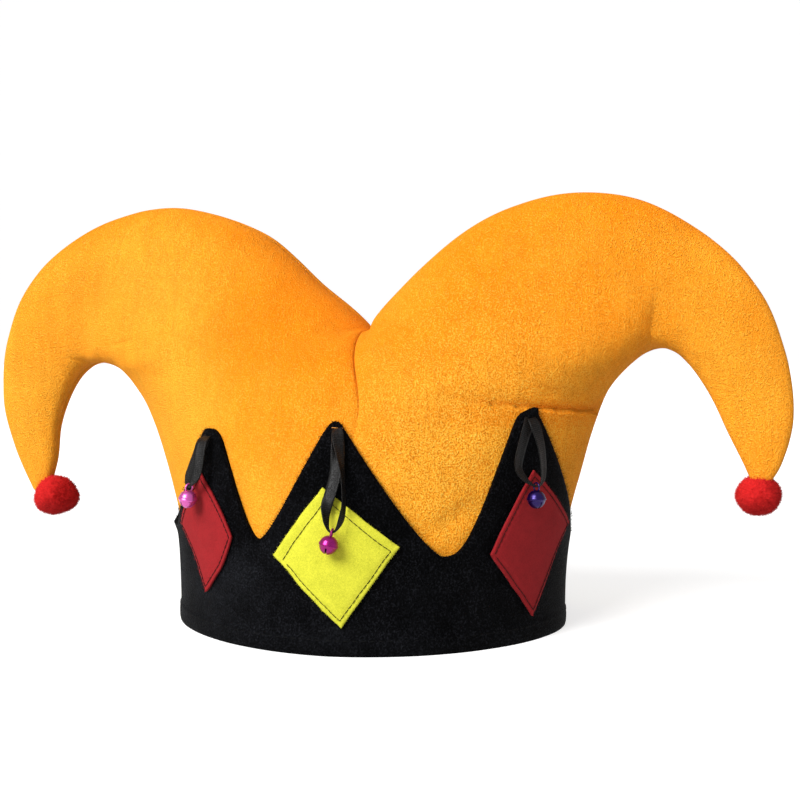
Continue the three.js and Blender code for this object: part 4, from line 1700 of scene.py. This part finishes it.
    def fuzz(self) -> bpy.types.Mesh:
        """Makes the loose fibres along the cut edge.

        Returns:
            One mesh with all the fibres.
        """
        draw = np.random.default_rng(len(self.name) * self.fuzz_seed)
        count = int(4 * math.hypot(*self.half_size) / self.fuzz_spacing)
        run = draw.uniform(-1, 1, count)
        edge = draw.integers(0, 4, count)
        one = np.choose(edge, [run, np.ones(count), run, -np.ones(count)])
        other = np.choose(edge, [np.ones(count), run, -np.ones(count), run])
        stand_off = self.back + self.thickness * draw.uniform(*self.fuzz_depth, count)
        roots, outward = self.place(one * self.fuzz_root, other * self.fuzz_root, stand_off)
        inside, _ = self.place(one * self.fuzz_from, other * self.fuzz_from, stand_off)
        way = unit(roots - inside) + self.fuzz_out * outward
        return self.edge_fuzz.mesh(f"felt_fuzz_{self.name}", roots, way)

    def build(self, finishes: Finishes) -> list[bpy.types.Object]:
        """Makes the diamond with its topstitching and its fuzzy edge.

        Args:
            finishes: The hat's materials.

        Returns:
            The diamond, its stitches and its fuzz.
        """
        material = finishes.felt[self.cut.felt]
        felt = add_piece(f"felt_{self.name}", self.felt(), [material], [f"diamond_{self.name}"])
        sewing = add_piece(f"topstitch_{self.name}", self.sewing(), [finishes.thread])
        fuzz = add_piece(f"felt_fuzz_{self.name}", self.fuzz(), [material])
        return [felt, sewing, fuzz]


class RoutePoint(NamedTuple):
    """A point of a ribbon's route: along the rim, share of the drop, lift off the band, and width."""

    side: float
    drop: float
    lift: float
    width: float


LOOP_ROUTE = (
    RoutePoint(-0.0004, 0.0, 0.00055, 0.0038),
    RoutePoint(-0.0014, 0.12, 0.0024, 0.0058),
    RoutePoint(-0.003, 0.28, 0.0031, 0.006),
    RoutePoint(-0.0046, 0.46, 0.0038, 0.006),
    RoutePoint(-0.006, 0.63, 0.0046, 0.0058),
    RoutePoint(-0.0064, 0.77, 0.0056, 0.005),
    RoutePoint(-0.0046, 0.89, 0.007, 0.0036),
    RoutePoint(-0.002, 0.975, 0.0082, 0.0013),
    RoutePoint(0.0, 1.0, 0.0085, 0.001),
    RoutePoint(0.002, 0.975, 0.0083, 0.0013),
    RoutePoint(0.0038, 0.88, 0.0072, 0.0034),
    RoutePoint(0.0046, 0.75, 0.006, 0.0046),
    RoutePoint(0.0044, 0.6, 0.0055, 0.005),
    RoutePoint(0.0036, 0.43, 0.0052, 0.0052),
    RoutePoint(0.0024, 0.26, 0.0048, 0.0054),
    RoutePoint(0.0012, 0.1, 0.0038, 0.0056),
    RoutePoint(0.0006, 0.0, 0.0013, 0.0038),
)


@dataclass(frozen=True)
class RibbonLoop:
    """A loop of satin ribbon sewn to a point of the band, with its bell."""

    shape: CrownShape
    band: VelvetBand
    spot: BandPoint
    width: float = 0.006
    thickness: float = 0.0004
    start: float = 0.004
    steps: int = 6
    strands: int = 6
    cup: float = 0.0003
    turn_places: tuple[float, ...] = (0, 1.1, 2.4, 4.5, 5.4, 6.6, 8, 11, 13, 16)
    turn_easings: int = 6
    tack_reach: float = 0.0022
    tack_rise: float = 0.0004
    tack_lift: float = 0.0004
    tack_points: int = 12
    tack_stitch: RunningStitch = RunningStitch(length=0.0021, gap=0.0004)

    def place(self, at: Array) -> tuple[Array, Array]:
        """Finds places on the loop's middle line.

        Args:
            at: Fractional points of the route.

        Returns:
            The places and the crown's outward directions there.
        """
        side, drop, lift, _ = (column_at(column, at) for column in np.array(LOOP_ROUTE).T)
        tip, loop = self.spot.tip, self.spot.loop
        past_bell = np.clip(2 * at / (len(LOOP_ROUTE) - 1) - 1, 0, 1)
        lift = lift + loop.stand * np.sin(math.pi * past_bell)
        skew = np.where(past_bell > 0, 0, loop.skew * np.sin(math.pi * drop))
        along = tip.at + loop.offset + loop.bow * side + loop.shift * drop + skew
        return self.shape.place(along, tip.height - self.start - drop * loop.drop, self.band.face + lift)

    def twist(self, at: Array) -> Array:
        """Finds how far the ribbon is turned edge on.

        Args:
            at: Fractional points of the route.

        Returns:
            Angles in radians.
        """
        top, middle, end, second = self.spot.loop.turns
        # A turn is full along its part of the leg and dies out at the sewn ends and in the ring
        turns = (0, top, middle, middle, end, end, 0, second, second, 0)
        twist = np.radians(np.interp(at, self.turn_places, turns))
        for _ in range(self.turn_easings):
            twist[1:-1] = (twist[:-2] + 2 * twist[1:-1] + twist[2:]) / 4
        return twist

    def ribbon(self, at: Array, path: Array, outward: Array) -> bpy.types.Mesh:
        """Makes the ribbon round its middle line.

        Args:
            at: Fractional points of the route.
            path: The middle line's places there.
            outward: The crown's outward directions there.

        Returns:
            A closed mesh, with the length along the ribbon stored for its weave.
        """
        onward = unit(np.gradient(path, axis=0))
        across = unit(np.cross(outward, onward))
        face = np.cross(onward, across)
        half = column_at(np.array(LOOP_ROUTE).T[3], at) / 2
        twist = self.twist(at)
        flat = np.cos(twist)[:, None] * across + np.sin(twist)[:, None] * face
        up = np.cross(onward, flat)
        reach = np.linspace(-1, 1, self.strands + 1)
        core = path[:, None] + (half[:, None] * reach)[..., None] * flat[:, None]
        core += (self.cup * (half / half.max())[:, None] * (reach**2 - 0.5))[..., None] * up[:, None]
        lift = self.thickness / 2 * up[:, None]
        points, faces, _ = closed_wall(core + lift, core - lift)
        mesh = make_mesh(f"satin_loop_{self.spot.name}", points, faces)
        mark_points(mesh, WEFT, np.tile(np.repeat(reach_along(path), self.strands + 1), 2))
        return mesh

    def build(self, finishes: Finishes) -> list[bpy.types.Object]:
        """Args:
            finishes: The hat's materials.

        Returns:
            The ribbon, its bell and the stitches that hold it.
        """
        name = self.spot.name
        last = len(LOOP_ROUTE) - 1
        at = np.linspace(0, last, last * self.steps + 1)
        path, outward = self.place(at)
        mesh = self.ribbon(at, path, outward)
        ribbon = add_piece(f"satin_loop_{name}", mesh, [finishes.ribbon], [f"ribbon_{name}"])
        bell = self.bell(finishes)
        # The front point alone is sewn with the plush's own thread
        thread = finishes.gold_thread if self.spot is BAND_POINTS[0] else finishes.thread
        tack = add_piece(f"loop_tack_{name}", self.tack(), [thread])
        return [ribbon, bell, tack]

    def tack(self) -> bpy.types.Mesh:
        """Makes the hand stitches that hold the loop's ends on the point.

        Returns:
            A short row of stitches across the ribbon.
        """
        tip = self.spot.tip
        along = tip.at + self.spot.loop.offset + self.tack_reach * np.linspace(-1, 1, self.tack_points)
        height = tip.height - self.start + self.tack_rise
        line, outward = self.shape.place(along, height, self.band.face + self.tack_lift)
        return self.tack_stitch.mesh(f"loop_tack_{self.spot.name}", line, outward)

    def bell(self, finishes: Finishes) -> bpy.types.Object:
        """Makes the bell that hangs in the loop.

        Args:
            finishes: The hat's materials.

        Returns:
            The bell.
        """
        place, outward = self.place(np.array([(len(LOOP_ROUTE) - 1) / 2]))
        hang = Vector(place[0]) - Vector((0, 0, JingleBell.ring_slack))
        turn = Matrix.Rotation(math.atan2(outward[0, 1], outward[0, 0]), 4, "Z")
        lean = Matrix.Rotation(math.radians(self.spot.loop.lean), 4, "X")
        name = self.spot.name
        mesh = JingleBell().mesh(f"jingle_bell_{name}")
        mesh.transform(Matrix.Translation(hang) @ turn @ lean)
        tint = self.spot.loop.bell
        return add_piece(
            f"jingle_bell_{name}", mesh, [finishes.bell[tint]], [f"bell_{name}"]
        )


BELL_PROFILE = (
    (0.0, 0.0043), (0.001, 0.00425), (0.0021, 0.0039), (0.0031, 0.0031), (0.0038, 0.0022), (0.0042, 0.0011),
    (0.0043, 0.0006), (0.00455, 0.0004), (0.00455, -0.0001), (0.0043, -0.0003), (0.0041, -0.0009),
    (0.0036, -0.0021), (0.0028, -0.0031), (0.0019, -0.0038), (0.0009, -0.0042), (0.0, -0.0043),
)


@dataclass(frozen=True)
class JingleBell:
    """A small round bell of two stamped halves: a raised seam, crossed slots below and a wire ring on top."""

    profile: Profile = BELL_PROFILE
    wall: float = 0.0004
    slot: float = 0.0008
    slot_top: float = -0.0009
    # How far the slots' cutters reach, in radii of the bell
    cut_reach: float = 1.5
    sharp_angle: float = 50.0
    ring_radius: float = 0.002
    wire_radius: float = 0.0004
    ring_sink: float = 0.0006
    ring_slack: float = 0.0004
    sides: int = 48
    wire_sides: int = 10

    def mesh(self, name: str) -> bpy.types.Mesh:
        """Makes the bell with its ring's centre at the origin.

        Args:
            name: The mesh's name.

        Returns:
            The new mesh.
        """
        top = self.profile[0][1]
        body = self.turned("bell_body", 0)
        cuts = [self.turned("bell_hollow", self.wall)]
        for turn in (0, math.pi / 2):
            cuts.append(self.slot_cut(turn))
        for cut in cuts:
            step = body.modifiers.new("cut", "BOOLEAN")
            step.operation = "DIFFERENCE"
            step.solver = "EXACT"
            step.object = cut
        shown = body.evaluated_get(bpy.context.evaluated_depsgraph_get())
        shell = bpy.data.meshes.new_from_object(shown)
        ring = self.ring(top + self.ring_radius - self.ring_sink)
        for piece in (body, *cuts):
            bpy.data.objects.remove(piece)
        mesh = self.joined(name, shell, ring)
        mesh.transform(Matrix.Translation((0, 0, self.ring_sink - self.ring_radius - top)))
        mesh.shade_smooth()
        mesh.set_sharp_from_angle(angle=math.radians(self.sharp_angle))
        return mesh

    def turned(self, name: str, inset: float) -> bpy.types.Object:
        """Turns the profile about Z.

        Args:
            name: The object's name.
            inset: Distance inside the profile.

        Returns:
            A closed object for cutting.
        """
        shrink = 1 - inset / self.profile[0][1]
        radius, height = np.array(self.profile[1:-1]).T * shrink
        angle = np.arange(self.sides) * math.tau / self.sides
        rings = np.stack(
            [
                np.outer(radius, np.cos(angle)),
                np.outer(radius, np.sin(angle)),
                np.broadcast_to(height[:, None], (len(height), self.sides)),
            ],
            axis=-1,
        ).reshape(-1, 3)
        index = np.arange(len(rings)).reshape(len(height), self.sides)
        after = np.roll(index, -1, axis=1)
        faces = np.stack([index[:-1], index[1:], after[1:], after[:-1]], axis=-1).reshape(-1, 4).tolist()
        faces += [index[0].tolist(), index[-1][::-1].tolist()]
        return self.cutter(name, rings.tolist(), faces)

    def slot_cut(self, turn: float) -> bpy.types.Object:
        """Makes the body that cuts one slot.

        Args:
            turn: The slot's direction about Z.

        Returns:
            A closed object for cutting.
        """
        reach, half = self.profile[0][1] * self.cut_reach, self.slot / 2
        outline = ((-reach, -half), (reach, -half), (reach, half), (-reach, half))
        spin = Matrix.Rotation(turn, 3, "Z")
        corners = [spin @ Vector((x, y, z)) for z in (-reach, self.slot_top) for x, y in outline]
        sides = [[a, (a + 1) % 4, (a + 1) % 4 + 4, a + 4] for a in range(4)]
        return self.cutter("bell_slot", corners, [[3, 2, 1, 0], [4, 5, 6, 7], *sides])

    def cutter(
        self, name: str, points: Sequence[Sequence[float]], faces: Sequence[Sequence[int]]
    ) -> bpy.types.Object:
        """Links a plain object that takes part in cutting the bell.

        Args:
            name: The object's name.
            points: Its corners.
            faces: Its faces.

        Returns:
            The object.
        """
        mesh = bpy.data.meshes.new(name)
        mesh.from_pydata(points, [], faces)
        piece = bpy.data.objects.new(name, mesh)
        bpy.context.scene.collection.objects.link(piece)
        return piece

    def ring(self, height: float) -> tuple[Array, Array]:
        """Makes the wire ring, which stands across the bell.

        Args:
            height: Its centre above the bell's middle.

        Returns:
            Its points and faces.
        """
        around = np.arange(self.sides // 2) * math.tau / (self.sides // 2)
        section = np.arange(self.wire_sides) * math.tau / self.wire_sides
        radius = self.ring_radius + self.wire_radius * np.cos(section)
        points = np.stack(
            [
                np.outer(np.cos(around), radius),
                np.broadcast_to(self.wire_radius * np.sin(section), (len(around), len(section))),
                height + np.outer(np.sin(around), radius),
            ],
            axis=-1,
        ).reshape(-1, 3)
        index = np.arange(len(points)).reshape(len(around), len(section))
        onward, beside = np.roll(index, -1, axis=0), np.roll(index, -1, axis=1)
        faces = np.stack([index, beside, np.roll(onward, -1, axis=1), onward], axis=-1).reshape(-1, 4)
        return points, faces

    def joined(self, name: str, shell: bpy.types.Mesh, ring: tuple[Array, Array]) -> bpy.types.Mesh:
        """Joins the bell's shell and its ring in one mesh.

        Args:
            name: The mesh's name.
            shell: The cut shell.
            ring: The ring's points and faces.

        Returns:
            The new mesh.
        """
        points = [tuple(point.co) for point in shell.vertices]
        faces = [tuple(face.vertices) for face in shell.polygons]
        faces += [tuple(int(corner) + len(points) for corner in face) for face in ring[1]]
        points += [tuple(point) for point in ring[0].tolist()]
        mesh = bpy.data.meshes.new(name)
        mesh.from_pydata(points, [], faces)
        bpy.data.meshes.remove(shell)
        return mesh


@dataclass(frozen=True)
class Pompom:
    """A small ball of red wool, trimmed close, with the ends of its strands standing out all over."""

    side: Side
    centre: tuple[float, float, float]
    radius: float
    seed: int
    cells: int = 30
    lump: float = 0.0014
    lump_grain: float = 0.011
    trim: float = 0.0011
    squash: float = 0.94
    tuft: float = 0.0006
    tuft_grain: float = 0.0014
    strands: int = 9000
    strand_length: float = 0.0021
    strand_width: float = 0.0005
    strand_spread: float = 0.55
    core_shade: float = 0.7
    fill: float = 0.9

    def bulges(self, way: Array) -> Array:
        """How far the ball's large lumps stand out in some directions."""
        return self.lump * soft_noise(way * self.radius, self.lump_grain, self.seed)

    def outside(self, way: Array, inset: float, swell: Array) -> Array:
        """Places on the ball in some directions, an inset below its radius and swollen in each direction."""
        return way * (1, 1, self.squash) * (self.radius - inset + swell)[:, None] + np.array(self.centre)

    def build(self, finishes: Finishes) -> list[bpy.types.Object]:
        """Makes the ball and its strands.

        Args:
            finishes: The hat's materials.

        Returns:
            The ball and its strands' ends.
        """
        side = self.side.name.lower()
        name = f"wool_ball_{side}"
        way, faces = ball_grid(self.cells)
        tufts = self.tuft * soft_noise(way * self.radius, self.tuft_grain, self.seed + 1)
        mesh = make_mesh(name, self.outside(way, self.trim, self.bulges(way) + tufts), faces)
        mark_points(mesh, NAP_AND_LIGHT, np.full(len(way), self.core_shade))
        ball = add_piece(name, mesh, [finishes.wool], [f"pompom_{side}"])
        draw = np.random.default_rng(self.seed)
        outward = unit(draw.normal(size=(self.strands, 3)))
        roots = self.outside(outward, 2 * self.trim, self.bulges(outward))
        wool = Fuzz(self.strand_length, self.strand_width, self.strand_spread, self.seed)
        strands = wool.mesh(f"{name}_ends", roots, outward)
        mark_points(strands, NAP_AND_LIGHT, np.repeat(draw.uniform(0, 1, self.strands), Fuzz.corners))
        ends = add_piece(f"{name}_ends", strands, [finishes.wool])
        return [ball, ends]


@dataclass(frozen=True)
class Studio:
    """The camera, a soft far lamp with a weak fill, a white sky, and a pale floor in a white backdrop."""

    camera_place: tuple[float, float, float] = (0.1559, -0.6338, 0.1436)
    camera_aim: tuple[float, float, float] = (0.0154, 0.0, 0.1118)
    lens: float = 57.06
    sensor: float = 36.0
    near_clip: float = 0.01
    key_from: tuple[float, float, float] = (-0.42, -0.68, 0.6)
    key_spread: float = 34.0
    key_strength: float = 4.4
    fill_from: tuple[float, float, float] = (-0.45, -0.75, -0.5)
    fill_spread: float = 70.0
    fill_strength: float = 0.55
    sky_strength: float = 0.6
    acrylic_roughness: float = 0.9
    acrylic_specular: float = 0.1
    floor_colour: str = "#bcbcbc"
    floor_glow: float = 0.62
    floor_size: float = 14.0
    backdrop_colour: str = "#000000"
    backdrop_glow: float = 1.0
    backdrop_radius: float = 6.5
    backdrop_cells: int = 24

    def set_camera(self) -> None:
        """Sets the camera at the photograph's angle."""
        data = bpy.data.cameras.new("camera")
        data.lens = self.lens
        data.sensor_width = self.sensor
        data.clip_start = self.near_clip
        camera = bpy.data.objects.new("camera", data)
        camera.location = self.camera_place
        look = Vector(self.camera_aim) - Vector(self.camera_place)
        camera.rotation_euler = look.to_track_quat("-Z", "Y").to_euler()
        bpy.context.scene.collection.objects.link(camera)
        bpy.context.scene.camera = camera

    def add_lamp(self, name: str, place: Sequence[float], spread: float, strength: float) -> None:
        """Adds a far lamp, as wide as a soft box.

        Args:
            name: Its name.
            place: Where it stands, seen from the hat.
            spread: Its width in degrees.
            strength: Its strength.
        """
        data = bpy.data.lights.new(name, "SUN")
        data.angle = math.radians(spread)
        data.energy = strength
        lamp = bpy.data.objects.new(name, data)
        lamp.location = place
        lamp.rotation_euler = (-Vector(place)).to_track_quat("-Z", "Y").to_euler()
        bpy.context.scene.collection.objects.link(lamp)

    def add_sky(self) -> None:
        """Adds the even light that fills the shadows."""
        world = bpy.data.worlds.new("white_sky")
        world.use_nodes = True
        sky = world.node_tree.nodes["Background"]
        sky.inputs["Color"].default_value = linear("#ffffff")
        sky.inputs["Strength"].default_value = self.sky_strength
        bpy.context.scene.world = world

    def lit_white(self, name: str, colour: str, glow: float) -> bpy.types.Material:
        """Makes opal acrylic lit from behind, so that shadows on it stay pale.

        Args:
            name: The material's name.
            colour: Its own colour.
            glow: The light that comes through it.

        Returns:
            The material.
        """
        acrylic = Finish(name, colour, self.acrylic_roughness, specular=self.acrylic_specular)
        material, _, shader = acrylic.start()
        shader.inputs["Emission Color"].default_value = linear("#ffffff")
        shader.inputs["Emission Strength"].default_value = glow
        return material

    def add_stage(self, name: str, mesh: bpy.types.Mesh, material: bpy.types.Material) -> bpy.types.Object:
        """Adds a floor or backdrop that throws no light back on the hat and lets the fill through.

        Args:
            name: The object's name.
            mesh: Its mesh.
            material: Its finish.

        Returns:
            The new object.
        """
        mesh.materials.append(material)
        stage = bpy.data.objects.new(name, mesh)
        stage.visible_diffuse = False
        stage.visible_shadow = False
        bpy.context.scene.collection.objects.link(stage)
        return stage

    def build(self) -> None:
        """Adds the light, the floor and the backdrop."""
        settings = bpy.context.scene.view_settings
        settings.view_transform = "Standard"
        settings.look = "None"
        self.add_lamp("key", self.key_from, self.key_spread, self.key_strength)
        self.add_lamp("fill", self.fill_from, self.fill_spread, self.fill_strength)
        self.add_sky()
        half = self.floor_size / 2
        corners = np.array([(-half, -half, 0), (half, -half, 0), (half, half, 0), (-half, half, 0)])
        floor = make_mesh("floor", corners, np.array([[0, 1, 2, 3]]))
        pale = self.lit_white("white_acrylic_floor", self.floor_colour, self.floor_glow)
        self.add_stage("floor", floor, pale)
        points, faces = ball_grid(self.backdrop_cells)
        dome = make_mesh("backdrop", points * self.backdrop_radius, faces)
        white = self.lit_white("white_acrylic_backdrop", self.backdrop_colour, self.backdrop_glow)
        backdrop = self.add_stage("backdrop", dome, white)
        backdrop.visible_glossy = False


POMPOMS = (
    Pompom(Side.RIGHT, (0.193, -0.001, 0.0678), 0.0112, seed=21),
    Pompom(Side.LEFT, (-0.1766, -0.001, 0.0578), 0.012, seed=31),
)


class Assembly(Protocol):
    """A sub-assembly of the hat."""

    def build(self, finishes: Finishes) -> list[bpy.types.Object]:
        """Makes its pieces and sets them on the hat."""


def main() -> None:
    """Builds the hat's looks in order and reports each piece."""
    logging.basicConfig(level=logging.INFO, format="%(message)s")
    studio = Studio()
    studio.set_camera()
    finishes = Finishes.make()
    shape = CrownShape()
    band = VelvetBand(shape)
    assemblies: list[Assembly] = [RibbonLoop(shape, band, spot) for spot in BAND_POINTS]
    for pompom in POMPOMS:
        assemblies += [PlushPanel(shape, pompom.side, facing, pompom.centre) for facing in Facing]
        assemblies.append(pompom)
    assemblies.append(band)
    assemblies += [FeltDiamond(shape, band, spot.name, spot.diamond) for spot in BAND_POINTS]
    for assembly in assemblies:
        for piece in assembly.build(finishes):
            mesh = piece.data
            LOG.info("%s: %d points, %d faces", piece.name, len(mesh.vertices), len(mesh.polygons))
    studio.build()


if __name__ == "__main__":
    main()
